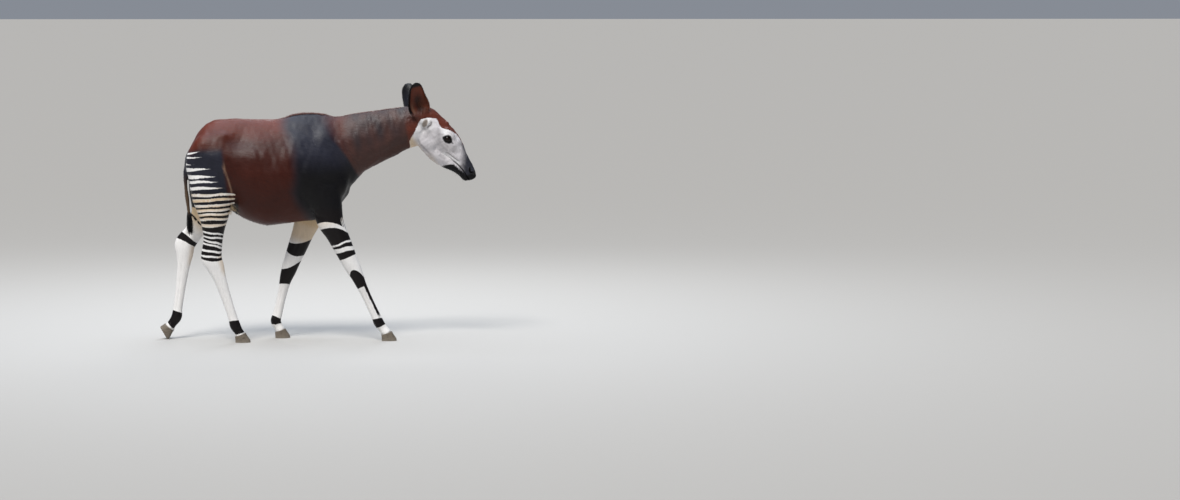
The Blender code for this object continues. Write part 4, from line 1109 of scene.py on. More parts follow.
def stripe_phase(height, front, rows):
    """Counts the stripes from the top down, a whole number on each stripe's middle line, with
    the stripes' half thickness and their spacing there."""
    lines = np.array([curve_through(front, *row[:3]) for row in rows])
    halves = np.array([curve_through(front, *row[3:]) / 2 for row in rows])
    last = len(rows) - 1
    phase = np.full(len(height), -0.5)
    half = np.full(len(height), OUTSIDE)
    gap = np.full(len(height), STRIPE_STEP)
    for k in range(last):
        high, low = lines[k], lines[k + 1]
        inside = (height <= high) & (height > low)
        t = (high - height) / np.maximum(high - low, 1e-4)
        phase = np.where(inside, k + t, phase)
        half = np.where(inside, halves[k] * (1 - t) + halves[k + 1] * t, half)
        gap = np.where(inside, high - low, gap)
    over = height > lines[0]
    phase = np.where(over, (lines[0] - height) / STRIPE_STEP, phase)
    half = np.where(over, np.where(phase > -0.5, halves[0], OUTSIDE), half)
    under = height <= lines[last]
    phase = np.where(under, last + (lines[last] - height) / STRIPE_STEP, phase)
    half = np.where(under, np.where(phase < last + 0.5, halves[last], OUTSIDE), half)
    return phase, half, gap


def line_field(height, front, row):
    """How far below a line across the leg each point lies."""
    return curve_through(front, *row) - height


def lay(colour, base, amount):
    """Lays a colour over others by an amount from 0 to 1."""
    amount = np.clip(amount, 0.0, 1.0)[:, None]
    return base * (1 - amount) + np.array(colour) * amount


def all_over(colour, count):
    return np.tile(np.array(colour), (count, 1))


def paint_leg(name, body, edge, pale, dark, stripes):
    """The white and black of one leg, from its outer and its inner face."""
    chart = LegChart(name, body)
    s, r = chart.height, chart.front
    side = side_of(name)
    inner = ramp(-body.normal[:, 1] * side, -0.15, 0.35)
    wave = 0.0022 * waves(np.column_stack((r, s * 6, np.full(len(s), side))), 1.3, 8, 11)
    hind = name.startswith("hind")
    if hind:
        outer = line_field(s, r, HOCK_LINE)
        phase, half, gap = stripe_phase(s + wave, r, HIND_STRIPES)
        half = half - 0.03 * inner - 0.03 * ramp(r, 1.05, 1.35) * ramp(s, 0.60, 0.64)
        half = half - 0.04 * (1 - ramp(body.aside, 0.050, 0.074)) * ramp(s, 0.66, 0.70)
        within = np.minimum(HIND_INNER_TOP - s, -band_field(s, r, HIND_INNER_BANDS))
        fetlock = band_field(s, r, HIND_FETLOCK)
        near = (body.flat[:, 0] < -0.42 + 0.14 * (body.flat[:, 1] < 0.60)) & (body.flat[:, 1] < 1.03)
    else:
        outer = np.maximum(band_field(s + wave, r, FORE_STRIPES), line_field(s, r, FORE_WHITE_LINE))
        outer = np.minimum(outer, -band_field(s, r, FORE_KNEE))
        spikes = ramp(r, 0.55, 1.0) * (0.012 + 0.010 * np.sin(r * 60)) * band(s, 0.555, 0.58, 0.62, 0.665)
        outer = np.maximum(outer, spikes - 0.006)
        within = np.minimum(FORE_INNER_TOP - body.flat[:, 1], -band_field(s, r, FORE_INNER_BANDS))
        fetlock = band_field(s, r, FORE_FETLOCK)
        near = (body.flat[:, 0] > -0.31) & (body.flat[:, 1] < 0.70)
        ahead = body.normal @ np.array((0.88, side * 0.32, 0.34))
        line = 0.024 * (ahead - 0.62)
        line = np.minimum(line, np.minimum(0.12 * (s - FRONT_LINE[0]), FRONT_LINE[1] + 0.02 - s))
        outer = np.minimum(outer, -line)
        within = np.minimum(within, -line)
    field = outer * (1 - inner) + within * inner
    field = np.minimum(field, -fetlock)
    reach = 0.19 if hind else 0.115 + 0.06 * inner
    behind = 0.19 if hind else 0.072 + 0.10 * inner
    on = near & chart.same_side & (chart.ahead < reach) & (chart.ahead > -behind) & (body.tail < 0.5)
    edge[:] = np.where(on, field, edge)
    if hind:
        for column, values in enumerate((phase, half + STRIPE_OFFSET, gap)):
            stripes[:, column] = np.where(on, values, stripes[:, column])
        cream = band(s, 0.56, 0.62, 0.76, 0.80) * (0.55 + 0.45 * np.sin(s * 140))
        cream = np.maximum(cream, 0.55 * ramp(r, 0.2, 0.9) * band(s, 0.30, 0.36, 0.42, 0.46))
        cream = np.maximum(cream, inner * ramp(s, 0.50, 0.62))
    else:
        cream = 0.80 * inner * ramp(s, 0.49, 0.56) + 0.35 * ramp(s, 0.60, 0.65)
    pale[:] = lay(CREAM, pale, cream * on)
    dark[:] = lay(STRIPE_BLACK, dark, on * (1 - ramp(s, 0.66, 0.76)))


def paint_trunk(body):
    """The dark coat's colours, with painted sheen on the shoulder and thigh and a painted highlight along the
    thigh's front edge.
    """
    x, z = body.flat.T
    uneven = waves(body.co, 0.20, 10, 21)
    dark = all_over(CHESTNUT, len(x))
    top = np.interp(x, [row[0] for row in TORSO], [row[1] for row in TORSO])
    dark = lay(BACK_RED, dark, 0.8 * ramp(z, top - 0.16, top - 0.01) + 0.12 * uneven)
    dark = lay(BELLY_RED, dark, 1 - ramp(z, 0.64, 0.80))
    neck = ramp(x, 0.055, 0.20)
    dark = lay(NECK_BROWN, dark, neck)
    dark = lay(THROAT_BROWN, dark, neck * ramp(x - 0.9 * (z - 1.0), 0.34, 0.50))
    rear, crease, soft = (np.interp(z, *zip(*line)) for line in (SHOULDER_REAR, SHOULDER_CREASE, CREASE_SOFT))
    ahead = ramp((crease - x + 0.006 * uneven) / soft, -1.0, 1.0)
    shoulder = ramp(x - rear + 0.012 * uneven, -0.055, 0.035) * ahead * (1 - ramp(x, 0.30, 0.40))
    # The dark shoulder: bluish charcoal above, black lower down; the lighter top is painted sheen over the
    # coat's own black.
    dark = lay(CHARCOAL, dark, shoulder)
    dark = lay(BLACK, dark, shoulder * (1 - ramp(z + 0.02 * uneven, 0.84, 1.02)))
    thigh = ramp(np.interp(z, *zip(*THIGH_FRONT)) - x, -0.012, 0.012)
    thigh = thigh * (1 - ramp(z - 0.05 * (x + 0.6), 0.985, 1.020))
    # The dark thigh likewise: charcoal above with painted sheen, blacker lower down.
    dark = lay(CHARCOAL, dark, thigh)
    dark = lay(BLACK, dark, thigh * 0.6 * (1 - ramp(z, 0.76, 0.84)))
    streaks = waves(body.co * (1.0, 1.0, 0.30), 0.055, 12, 22)
    grey = neck * (0.45 + 0.25 * streaks) * ramp(z - 0.35 * x, 0.86, 0.98) * (1 - ramp(x, 0.42, 0.54))
    dark = lay(NECK_GREY, dark, grey)
    dark = lay(BACK_RED, dark, 0.7 * ramp(x, 0.44, 0.54) * (1 - body.head))
    # Painted highlight along the thigh's front edge.
    dark = lay(THIGH_TAN, dark, 0.9 * stroke(body.flat, THIGH_EDGE_HIGHLIGHT, 0.0045, 0.3, 0.8))
    dark = lay(FOREHEAD, dark, 0.8 * spot(x, z, (-0.665, 1.030), (0.022, 0.040)))
    dark = lay(TAIL_GREY, dark, body.tail * (1 - ramp(z, 0.76, 0.90)))
    return dark


def paint_face(body, edge, pale, dark):
    """The white face, brown forehead, dark muzzle and chin."""
    a, b = body.along, body.above
    rough = 0.0015 * waves(body.co, 0.012, 12, 31)
    top = np.interp(a, *zip(*FACE_TOP)) - b
    back = (a - np.interp(b, *zip(*FACE_BACK))) * 0.8
    edge[:] = np.where(body.head > 0.02, np.minimum(top, back) + rough, edge)
    dark[:] = lay(FOREHEAD, dark, body.head * ramp(a, -0.05, 0.05))
    white = paint_white(body)
    white = paint_lobe(body, white)
    white = paint_muzzle(body, rough, white)
    white = paint_eye_rings(body, rough, white)
    pale[:] = lay_many(white, pale, body.on_face)


def lay_many(colours, base, amount):
    """Lays each point's own colour over its base."""
    amount = amount[:, None]
    return base * (1 - amount) + colours * amount


def paint_white(body):
    """The whites and greys of the face."""
    a, b = body.along, body.above
    flat = np.column_stack((a, b))
    gap, _ = line_reach(flat, MOUTH_STRIP)
    white = lay(FACE_WHITE, all_over(FACE_GREY, len(a)), spot(a, b, (0.145, -0.006), (0.030, 0.020)))
    white = lay(FACE_WHITE, white, 0.7 * ramp(-a, -0.115, -0.060) * ramp(-b, 0.02, 0.05))
    white = lay(FACE_WHITE, white, 0.9 * bell(gap, 0.008))
    white = lay(CREAM, white, 0.8 * ramp(-b, 0.150, 0.185) * (1 - ramp(a, 0.16, 0.24)))
    white = lay(CREAM, white, 0.35 * ramp(-b, 0.118, 0.150) * ramp(a, 0.16, 0.24))
    return lay(FACE_SHADOW, white, 0.35 * spot(a, b, (0.215, -0.050), (0.035, 0.022)))


def paint_lobe(body, white):
    """The tan lobe under the ear with painted shadow along its crease and under it, and the painted shading
    of the face.
    """
    x, z = body.flat.T
    lobe = ((x - 0.551 - 0.25 * (z - 1.136)) / 0.0150) ** 2 + ((z - 1.136) / 0.0225) ** 2
    white = lay(LOBE_TAN, white, 0.85 * (1 - ramp(lobe, 0.45, 1.3)))
    # Painted shadow: dark along the lobe's crease and grey under the lobe.
    white = lay(DEEP_SHADOW, white, 0.85 * stroke(body.flat, LOBE_SHADOW_LINE, 0.0052, 0.3, 0.85))
    white = lay(GREY_SHADE, white, 0.7 * spot(x, z, (0.550, 1.107), (0.016, 0.008)))
    flat = np.column_stack((body.along, body.above))
    # Painted shading of the face's creases and hollows.
    for amount, width, *line in PAINTED_FACE_SHADING:
        white = lay(GREY_SHADE, white, amount * stroke(flat, line, width, 0.15, 0.8))
    return white


def paint_muzzle(body, rough, white):
    """The grey bridge and muzzle, black nose, chin, mouth and nostrils."""
    a, b = body.along, body.above
    flat = np.column_stack((a, b))
    muzzle = ramp(a + 1.1 * (b + 0.02) + 2.0 * rough, 0.300, 0.372) ** 0.6
    bridge = ramp(b - np.interp(a, *zip(*BRIDGE_LINE)), -0.008, 0.010) * ramp(a, 0.215, 0.270)
    white = lay(MUZZLE, white, np.maximum(muzzle, 0.80 * bridge))
    chin = np.interp(a, *zip(*CHIN_TOP)) - b + rough
    mouth, _ = line_reach(flat, MOUTH)
    nostril, _ = line_reach(flat, NOSTRIL)
    for amount in (ramp(a, 0.396, 0.412),
                   ramp(chin, -0.0045, 0.0040) * ramp(a, 0.286, 0.302),
                   bell(mouth, 0.0030) * ramp(a, 0.270, 0.330),
                   (1 - ramp(nostril, 0.004, 0.008)) * ramp(a, 0.35, 0.37)):
        white = lay(BLACK, white, amount)
    return white


def paint_eye_rings(body, rough, white):
    """The dark skin round the eyes and the grey line at their front corners."""
    for side in SIDES:
        long_way, high, out = eye_places(body.co, side)
        bent = high + 0.004 * (long_way / 0.028) ** 2
        ring = (np.abs(long_way / 0.0300) ** 1.6 + np.abs(bent / 0.0232) ** 1.6) ** 0.625
        white = lay(BLACK, white, (1 - ramp(ring + 20 * rough, 0.80, 1.10)) * (out > 0))
        corner = np.hypot((long_way - 0.031) / 0.010, (high + 0.003) / 0.0035)
        white = lay(GREY_SHADE, white, 0.9 * (1 - ramp(corner, 0.4, 1.1)) * (out > 0))
    return white


def paint_ears(body, edge, pale, dark):
    """Red-brown cups with black rims and painted shadow deep inside, and black backs."""
    t, c, inside = body.ear_up, body.ear_across, body.ear_inside
    # Painted shadow in the lower middle of each cup.
    cup = lay(DEEP_SHADOW, all_over(EAR_CUP, len(t)), 0.9 * bell(c - 0.15, 0.42) * ramp(-t, -0.75, -0.45))
    cup = lay(THIGH_TAN, cup, 0.55 * bell(c + 0.52, 0.16) * ramp(-t, -0.50, -0.25))
    rim = np.maximum(ramp(-c, 0.60, 0.76), ramp(c, 0.80, 0.93) * ramp(t, 0.35, 0.6))
    cup = lay(BLACK, cup, np.maximum(ramp(t, 0.80, 0.90), rim * ramp(t, 0.02, 0.12)))
    back = lay(BLACK, all_over(CHARCOAL, len(t)), 0.4 + 0.6 * ramp(t, 0.5, 0.9))
    back = lay(FOREHEAD, back, 1 - ramp(t, 0.10, 0.35))
    dark[:] = lay_many(lay_many(cup, back, inside), dark, ramp(t, 0.08, 0.20))
    edge[:] = np.where(t > 0.14, -0.02, edge)


def paint_skin(skin):
    """Gives every point of the skin its dark and pale coat colours, how deep in the pale
    part it lies, its place among the stripes, and the way its hair lies: leg, head or trunk."""
    body = Body(skin.data)
    dark = paint_trunk(body)
    pale = all_over(LEG_WHITE, len(dark))
    edge = np.full(len(dark), OUTSIDE)
    stripes = all_over((-0.5, 0.0, STRIPE_STEP), len(dark))
    for name in LEGS:
        paint_leg(name, body, edge, pale, dark, stripes)
    paint_face(body, edge, pale, dark)
    paint_ears(body, edge, pale, dark)
    put_numbers(skin.data, "edge", edge)
    for column, word in enumerate(("phase", "half", "gap")):
        put_numbers(skin.data, word, stripes[:, column])
    off = np.abs(stripes[:, 0] - np.round(stripes[:, 0])) * stripes[:, 2]
    edge = np.maximum(edge, stripes[:, 1] - STRIPE_OFFSET - off)
    put_colours(skin.data, "dark", dark)
    put_colours(skin.data, "pale", pale)
    put_numbers(skin.data, "leg", leg_share(body.co))
    put_numbers(skin.data, "head", body.head)
    skin.data.calc_loop_triangles()
    faces = numbers_of(skin.data.loop_triangles, "vertices", 3, int)
    return dict(body=body, dark=dark, pale=pale, edge=edge, faces=faces)


def put_numbers(mesh, name, values):
    layer = mesh.attributes.new(name, "FLOAT", "POINT")
    layer.data.foreach_set("value", np.asarray(values, np.float32))


def put_colours(mesh, name, values):
    layer = mesh.attributes.new(name, "FLOAT_COLOR", "POINT")
    full = np.column_stack((values, np.ones(len(values)))).astype(np.float32)
    layer.data.foreach_set("color", full.ravel())


# Materials.

class Nodes:
    """Short words for the nodes of one material."""

    def __init__(self, name):
        self.material = bpy.data.materials.new(name)
        self.material.use_nodes = True
        self.tree = self.material.node_tree
        self.shader = self.tree.nodes["Principled BSDF"]

    def feed(self, socket, value):
        if isinstance(value, bpy.types.NodeSocket):
            self.tree.links.new(value, socket)
        elif isinstance(value, tuple) and len(value) == 3 and socket.type == "RGBA":
            socket.default_value = (*value, 1.0)
        else:
            socket.default_value = value

    def add(self, kind, settings=None, **inputs):
        node = self.tree.nodes.new("ShaderNode" + kind)
        for key, value in (settings or {}).items():
            setattr(node, key, value)
        for key, value in inputs.items():
            self.feed(node.inputs[key.replace("_", " ")], value)
        return node

    def attribute(self, name, output="Fac"):
        return self.add("Attribute", {"attribute_name": name}).outputs[output]

    def math(self, operation, one, two=0.0, three=0.0):
        node = self.add("Math", {"operation": operation})
        for socket, value in zip(node.inputs, (one, two, three)):
            self.feed(socket, value)
        return node.outputs[0]

    def mix(self, factor, one, two):
        node = self.add("Mix", {"data_type": "RGBA"})
        self.feed(node.inputs["Factor"], factor)
        self.feed(node.inputs[6], one)
        self.feed(node.inputs[7], two)
        return node.outputs[2]

    def spread(self, value, low, high, to_low=0.0, to_high=1.0):
        node = self.add("MapRange", {"interpolation_type": "SMOOTHSTEP"}, Value=value)
        for name, number in (("From Min", low), ("From Max", high), ("To Min", to_low), ("To Max", to_high)):
            node.inputs[name].default_value = number
        return node.outputs[0]

    def grain(self, sizes, turn=0.0, detail=2.0):
        """Noise with bumps of these sizes in metres, along axes turned about Y."""
        place = self.add("TexCoord").outputs["Object"]
        held = self.add("Mapping", {"vector_type": "TEXTURE"}, Vector=place)
        held.inputs["Rotation"].default_value = (0.0, turn, 0.0)
        held.inputs["Scale"].default_value = sizes
        noise = self.add("TexNoise", Vector=held.outputs[0], Scale=1.0, Detail=detail, Roughness=0.55)
        return noise.outputs["Fac"]

    def scale_colour(self, colour, factor):
        node = self.add("VectorMath", {"operation": "SCALE"})
        self.feed(node.inputs[0], colour)
        self.feed(node.inputs["Scale"], factor)
        return node.outputs[0]

    def set(self, **inputs):
        for key, value in inputs.items():
            self.feed(self.shader.inputs[key.replace("_", " ")], value)


LIE_OF_TRUNK = math.radians(14)


def lie_grain(n, length, width, detail):
    """Hair grain that runs back along the trunk, down the legs and down the face."""
    trunk = n.grain((length, width, width), LIE_OF_TRUNK, detail)
    leg = n.grain((width, width, length), 0.0, detail)
    head = n.grain((length, width, width), HEAD_PITCH, detail)
    both = n.mix(n.attribute("leg"), trunk, leg)
    return n.mix(n.attribute("head"), both, head)


def coat_material():
    n = Nodes("coat")
    hairs = lie_grain(n, 0.022, 0.0011, 2.0)
    clumps = lie_grain(n, 0.060, 0.0060, 2.0)
    broad = n.grain((0.10, 0.10, 0.10))
    phase = n.attribute("phase")
    off = n.math("ABSOLUTE", n.math("SUBTRACT", phase, n.math("ROUND", phase)))
    away = n.math("MULTIPLY_ADD", off, n.attribute("gap"), STRIPE_OFFSET)
    stripe = n.math("SUBTRACT", n.attribute("half"), away)
    edge = n.math("MAXIMUM", n.attribute("edge"), stripe)
    loose = n.math("MULTIPLY_ADD", n.attribute("head"), 0.9, 1.0)
    hairs_off, clumps_off = n.math("SUBTRACT", hairs, 0.5), n.math("SUBTRACT", clumps, 0.5)
    noise = n.math("MULTIPLY_ADD", hairs_off, 1.1, clumps_off)
    ragged = n.math("MULTIPLY_ADD", n.math("MULTIPLY", noise, loose), 0.0036, edge)
    white = n.spread(n.math("DIVIDE", ragged, loose), -0.0009, 0.0012)
    colour = n.mix(white, n.attribute("dark", "Color"), n.attribute("pale", "Color"))
    depth = n.math("MULTIPLY_ADD", white, -0.62, 1.0)
    shade = n.math("MULTIPLY_ADD", clumps_off, 0.5, hairs_off)
    shade = n.math("MULTIPLY_ADD", n.math("SUBTRACT", broad, 0.5), 0.4, shade)
    shade = n.math("MULTIPLY_ADD", shade, depth, 1.0)
    colour = n.scale_colour(colour, shade)
    gloss = n.spread(clumps, 0.25, 0.75, 0.33, 0.47)
    gloss = n.math("MULTIPLY_ADD", white, 0.20, gloss)
    height = n.math("MULTIPLY_ADD", clumps, 2.2, hairs)
    rough_bump = n.add("Bump", Strength=0.38, Distance=0.0011, Height=height)
    n.set(Base_Color=colour, Roughness=gloss, Normal=rough_bump.outputs[0])
    n.shader.inputs["Specular IOR Level"].default_value = 0.19
    return n.material


def eye_material():
    n = Nodes("eye")
    iris = n.attribute("iris")
    pupil = n.attribute("pupil")
    rays = n.grain((0.0006, 0.0006, 0.0006))
    brown = n.mix(rays, (0.003, 0.0014, 0.0008), (0.014, 0.0055, 0.0024))
    colour = n.mix(n.spread(pupil, 0.9, 1.1), (0.0012, 0.0012, 0.0018), brown)
    colour = n.mix(n.spread(iris, 0.90, 1.02), colour, (0.006, 0.0045, 0.0042))
    n.set(Base_Color=colour, Roughness=0.06)
    n.shader.inputs["Specular IOR Level"].default_value = 0.22
    return n.material


def lid_material():
    n = Nodes("lid_skin")
    pores = n.grain((0.0007, 0.0007, 0.0007), 0.0, 3.0)
    colour = n.mix(pores, (0.0045, 0.0040, 0.0045), (0.0140, 0.0115, 0.0110))
    bump = n.add("Bump", Strength=0.4, Distance=0.0003, Height=pores)
    n.set(Base_Color=colour, Roughness=0.36, Normal=bump.outputs[0])
    return n.material


def horn_material():
    n = Nodes("horn")
    fibres = n.grain((0.0007, 0.0007, 0.020), 0.0, 3.0)
    rings = n.grain((0.05, 0.05, 0.0022), 0.0, 2.0)
    stains = n.grain((0.014, 0.014, 0.010), 0.0, 4.0)
    low = n.spread(n.add("SeparateXYZ", Vector=n.add("TexCoord").outputs["Object"]).outputs[2], 0.0, 0.030)
    colour = n.mix(fibres, (0.100, 0.0780, 0.0560), (0.200, 0.1640, 0.1230))
    colour = n.mix(n.spread(stains, 0.45, 0.75, 0.0, 0.75), colour, (0.050, 0.0380, 0.0290))
    colour = n.mix(n.math("MULTIPLY", n.math("SUBTRACT", 1.0, low), 0.45), colour, (0.240, 0.2100, 0.1700))
    height = n.math("ADD", fibres, n.math("MULTIPLY", rings, 1.6))
    bump = n.add("Bump", Strength=0.5, Distance=0.0006, Height=height)
    n.set(Base_Color=colour, Roughness=n.spread(stains, 0.3, 0.7, 0.42, 0.62), Normal=bump.outputs[0])
    return n.material


def plain_material(name, colour, roughness):
    n = Nodes(name)
    n.set(Base_Color=colour, Roughness=roughness)
    return n.material


# Eyes, lids and hooves.

def mesh_from(name, points, faces, material):
    mesh = bpy.data.meshes.new(name)
    mesh.from_pydata([tuple(p) for p in points], [], faces)
    mesh.update()
    mesh.shade_smooth()
    mesh.materials.append(material)
    return link(name, mesh)


def ring_faces(levels, sides, closed=False):
    """Quads of a tube of rings; a closed one joins its last ring to its first."""
    faces = []
    for i in range(levels if closed else levels - 1):
        j = (i + 1) % levels
        for k in range(sides):
            m = (k + 1) % sides
            faces.append((i * sides + k, i * sides + m, j * sides + m, j * sides + k))
    return faces


PUPIL_LONG, PUPIL_HIGH = 0.0062, 0.0036
IRIS_RADIUS = 0.0165
CORNEA_RADIUS = 0.011
CORNEA_HEIGHT = 0.0012


def make_eye(side, material):
    """A dark eyeball with a slightly raised cornea, its pole looking outward."""
    bm = bmesh.new()
    bmesh.ops.create_uvsphere(bm, u_segments=72, v_segments=48, radius=EYE_RADIUS - 0.0002)
    eye = mesh_object(f"eyeball_{SIDES[side]}", bm)
    look = Vector((0.30, side, -0.06)).normalized()
    turn = look.to_track_quat("Z", "Y").to_matrix()
    co = places_of(eye.data) @ np.array(turn).T
    ahead = co @ np.array(look)
    forward = np.array((1.0, 0.0, 0.0)) - np.array(look) * look.x
    forward /= np.linalg.norm(forward)
    upward = np.cross(np.array(look), forward)
    off = np.hypot(co @ forward, co @ upward)
    bulge = np.where(ahead > 0, bell(off, CORNEA_RADIUS), 0.0) * CORNEA_HEIGHT
    co = co * (1 + bulge / EYE_RADIUS)[:, None]
    pupil = np.hypot(co @ forward / PUPIL_LONG, co @ upward / PUPIL_HIGH)
    put_places(eye.data, co + np.array(eye_centre(side)))
    put_numbers(eye.data, "iris", np.where(ahead > 0, off / IRIS_RADIUS, 2.0))
    put_numbers(eye.data, "pupil", np.where(ahead > 0, pupil, 2.0))
    eye.data.shade_smooth()
    eye.data.materials.append(material)
    return eye


# A lid's section: how far outside the opening's edge, and how far over the eyeball.
LID_SECTION = ((0.0000, 0.0002), (-0.0004, 0.0009), (-0.0001, 0.0018), (0.0010, 0.0026), (0.0024, 0.0029),
               (0.0040, 0.0028), (0.0056, 0.0024), (0.0068, 0.0012), (0.0056, 0.0002), (0.0030, 0.0001))
LID_STEPS = 72


def make_lids(side, material):
    """The dark rims of both lids as one soft ring round the eye."""
    points = []
    for k in range(LID_STEPS):
        angle = math.tau * k / LID_STEPS
        f = math.cos(angle)
        edge_long = EYE_OPEN_LONG / 2 * f
        edge_high = float(lid_height(np.array([f]), math.sin(angle) >= 0)[0])
        away = Vector((edge_long / EYE_OPEN_LONG, 0.0, edge_high / EYE_OPEN_HIGH)).normalized()
        fold = 1.0 + 0.35 * max(0.0, math.sin(angle))
        for past, over in LID_SECTION:
            u = edge_long + away.x * past * fold
            v = edge_high + away.z * past * fold
            points.append(eye_point(side, u, v, EYE_RADIUS + over))
    faces = ring_faces(LID_STEPS, len(LID_SECTION), closed=True)
    return mesh_from(f"eyelids_{SIDES[side]}", points, faces, material)


def between(rings, count):
    """More rings, smoothly between a few."""
    rings = np.array(rings, float)
    levels = len(rings)
    slopes = np.gradient(rings, axis=0)
    at = np.linspace(0.0, levels - 1.0, count)
    i = np.minimum(at.astype(int), levels - 2)
    u = (at - i)[:, None, None]
    return ease(u, rings[i], rings[i + 1], slopes[i], slopes[i + 1])


def make_claw(name, which, sign, material):
    """One horn shell with growth rings and a flat sole."""
    frame = foot_frame(name)
    middle, up = coronet_plane(name)
    rings = []
    for height, length, back in CLAW_RINGS:
        ring = []
        for k in range(CLAW_SIDES):
            angle = math.tau * k / CLAW_SIDES
            x = math.cos(angle) * length / 2 - back
            y = CLEFT + CLAW_WIDTH / 2 * (1 + math.sin(angle)) * (0.86 + 0.14 * length / CLAW_LENGTH)
            y = CLEFT + max(y - CLEFT, 0.12 * CLAW_WIDTH) - 0.12 * CLAW_WIDTH
            ring.append(frame @ Vector((x, sign * y, height)))
        rings.append(ring)
    rings[-1] = [p - up * ((p - middle).dot(up) + 0.0002) for p in rings[-1]]
    stack = between(rings, CLAW_LEVELS)
    for i, ring in enumerate(stack):
        centre = ring.mean(axis=0)
        t = i / (CLAW_LEVELS - 1)
        swell = 1 + 0.006 * math.sin(t * 34) * math.sin(math.pi * t) - 0.02 * (t < 0.01)
        stack[i] = centre + (ring - centre) * swell
    points = stack.reshape(-1, 3)
    points[:, 2] = np.maximum(points[:, 2], 0.0)
    faces = ring_faces(CLAW_LEVELS, CLAW_SIDES)
    faces.append(tuple(range(CLAW_SIDES))[::-1])
    faces.append(tuple(range((CLAW_LEVELS - 1) * CLAW_SIDES, CLAW_LEVELS * CLAW_SIDES)))
    claw = mesh_from(f"{name}_claw_{which}", points, faces, material)
    bm = bmesh.new()
    bm.from_mesh(claw.data)
    bmesh.ops.recalc_face_normals(bm, faces=bm.faces)
    bm.to_mesh(claw.data)
    bm.free()
    claw.data.set_sharp_from_angle(angle=math.radians(50))
    return claw


# Locks of hair.

# Fractions of a lock's length where its sections lie, and how wide it is there.
SHORT_LOCK = ((0.0, 0.35, 0.7), (0.9, 1.0, 0.62))
LONG_LOCK = ((0.0, 0.2, 0.4, 0.6, 0.8), (0.7, 1.0, 1.0, 0.8, 0.5))
LOCK_RIDGE = 0.28  # how high a lock's ridge stands, in parts of its width
ROOT_DEPTH = 0.0012  # roots lie this far inside the skin
WIDEST_HAIR = 0.183  # no coat hair further out than this, so that it stays in the CAD box
PATCH = 0.003  # a lock's patch on the unwrap
HIDE_REACH = (-0.85, 0.85, 1.40)  # least and greatest x and greatest height on the unwrap
TUFT_LOCKS = 190
TUFT_BOTTOM = 0.548
CREST_LOCKS = 2600
WITHERS_LOCKS = 2200
CORONET_LOCKS = 2600
FRINGE_LOCKS = 5200
EAR_INNER_LOCKS = 900
FLANK_LOCKS = 420
WHISKERS = 70
LASHES = 46
COAT_HAIR_PIECES = 2
COAT_HAIRS = 11000
# Seeds of the random draws.
TUFT_SEED, CREST_SEED, WITHERS_SEED, CORONET_SEED = 71, 81, 82, 83
FRINGE_SEED, EAR_INNER_SEED, FLANK_SEED, WHISKER_SEED, LASH_SEED, COAT_SEED = 84, 85, 86, 87, 88, 90


def make_locks(name, roots, ways, ups, lengths, widths, bends, colours, unwrap, material,
               stations=SHORT_LOCK):
    """Joins flat tapered locks. Each runs from its root along its way, rises along its up by
    its bend, and carries its root's colours; unwrap is its root's place on the skin's unwrap."""
    count = len(roots)
    ways = ways / np.linalg.norm(ways, axis=1)[:, None]
    ups = ups - ways * np.sum(ways * ups, axis=1)[:, None]
    ups /= np.maximum(np.linalg.norm(ups, axis=1), 1e-9)[:, None]
    asides = np.cross(ways, ups)
    rings = []
    for at, wide in zip(*stations):
        middle = roots + ways * (lengths * at)[:, None] + ups * (bends * lengths * at**2)[:, None]
        across = asides * (widths * wide / 2)[:, None]
        over = ups * (widths * wide * LOCK_RIDGE)[:, None]
        rings += [middle - across, middle + over, middle + across]
    tip = roots + ways * lengths[:, None] + ups * (bends * lengths)[:, None]
    per = len(rings) + 1
    points = np.stack(rings + [tip], axis=1).reshape(-1, 3)
    levels = len(stations[0])
    pattern = []
    for i in range(levels - 1):
        for k in range(3):
            m = (k + 1) % 3
            a, b, c, d = i * 3 + k, i * 3 + m, i * 3 + 3 + m, i * 3 + 3 + k
            pattern += [(a, b, c), (a, c, d)]
    last = (levels - 1) * 3
    pattern += [(last + k, last + (k + 1) % 3, per - 1) for k in range(3)]
    pattern.append((2, 1, 0))
    pattern = np.array(pattern)
    faces = (pattern[None] + (np.arange(count) * per)[:, None, None]).reshape(-1, 3)
    mesh = bpy.data.meshes.new(name)
    mesh.vertices.add(len(points))
    mesh.vertices.foreach_set("co", points.ravel())
    mesh.loops.add(len(faces) * 3)
    mesh.loops.foreach_set("vertex_index", faces.ravel())
    mesh.polygons.add(len(faces))
    mesh.polygons.foreach_set("loop_start", np.arange(0, len(faces) * 3, 3))
    mesh.polygons.foreach_set("loop_total", np.full(len(faces), 3))
    mesh.update()
    mesh.validate()
    mesh.shade_smooth()
    dark, pale, edge = colours
    put_colours(mesh, "dark", np.repeat(dark, per, axis=0))
    put_colours(mesh, "pale", np.repeat(pale, per, axis=0))
    put_numbers(mesh, "edge", np.repeat(edge, per))
    lay_patches(mesh, unwrap, per, pattern)
    mesh.materials.append(material)
    return link(name, mesh)


def lay_patches(mesh, unwrap, per, pattern):
    """Gives each lock a small patch at its root's place on the unwrap."""
    local = np.array([((k % 3) / 3, (k // 3) / (per // 3)) for k in range(per)])
    layer = mesh.uv_layers.new(name="OFBake")
    corners = local[pattern.ravel()] * PATCH
    places = unwrap[:, None, :] * (1 - PATCH) + corners[None]
    layer.data.foreach_set("uv", places.astype(np.float32).ravel())


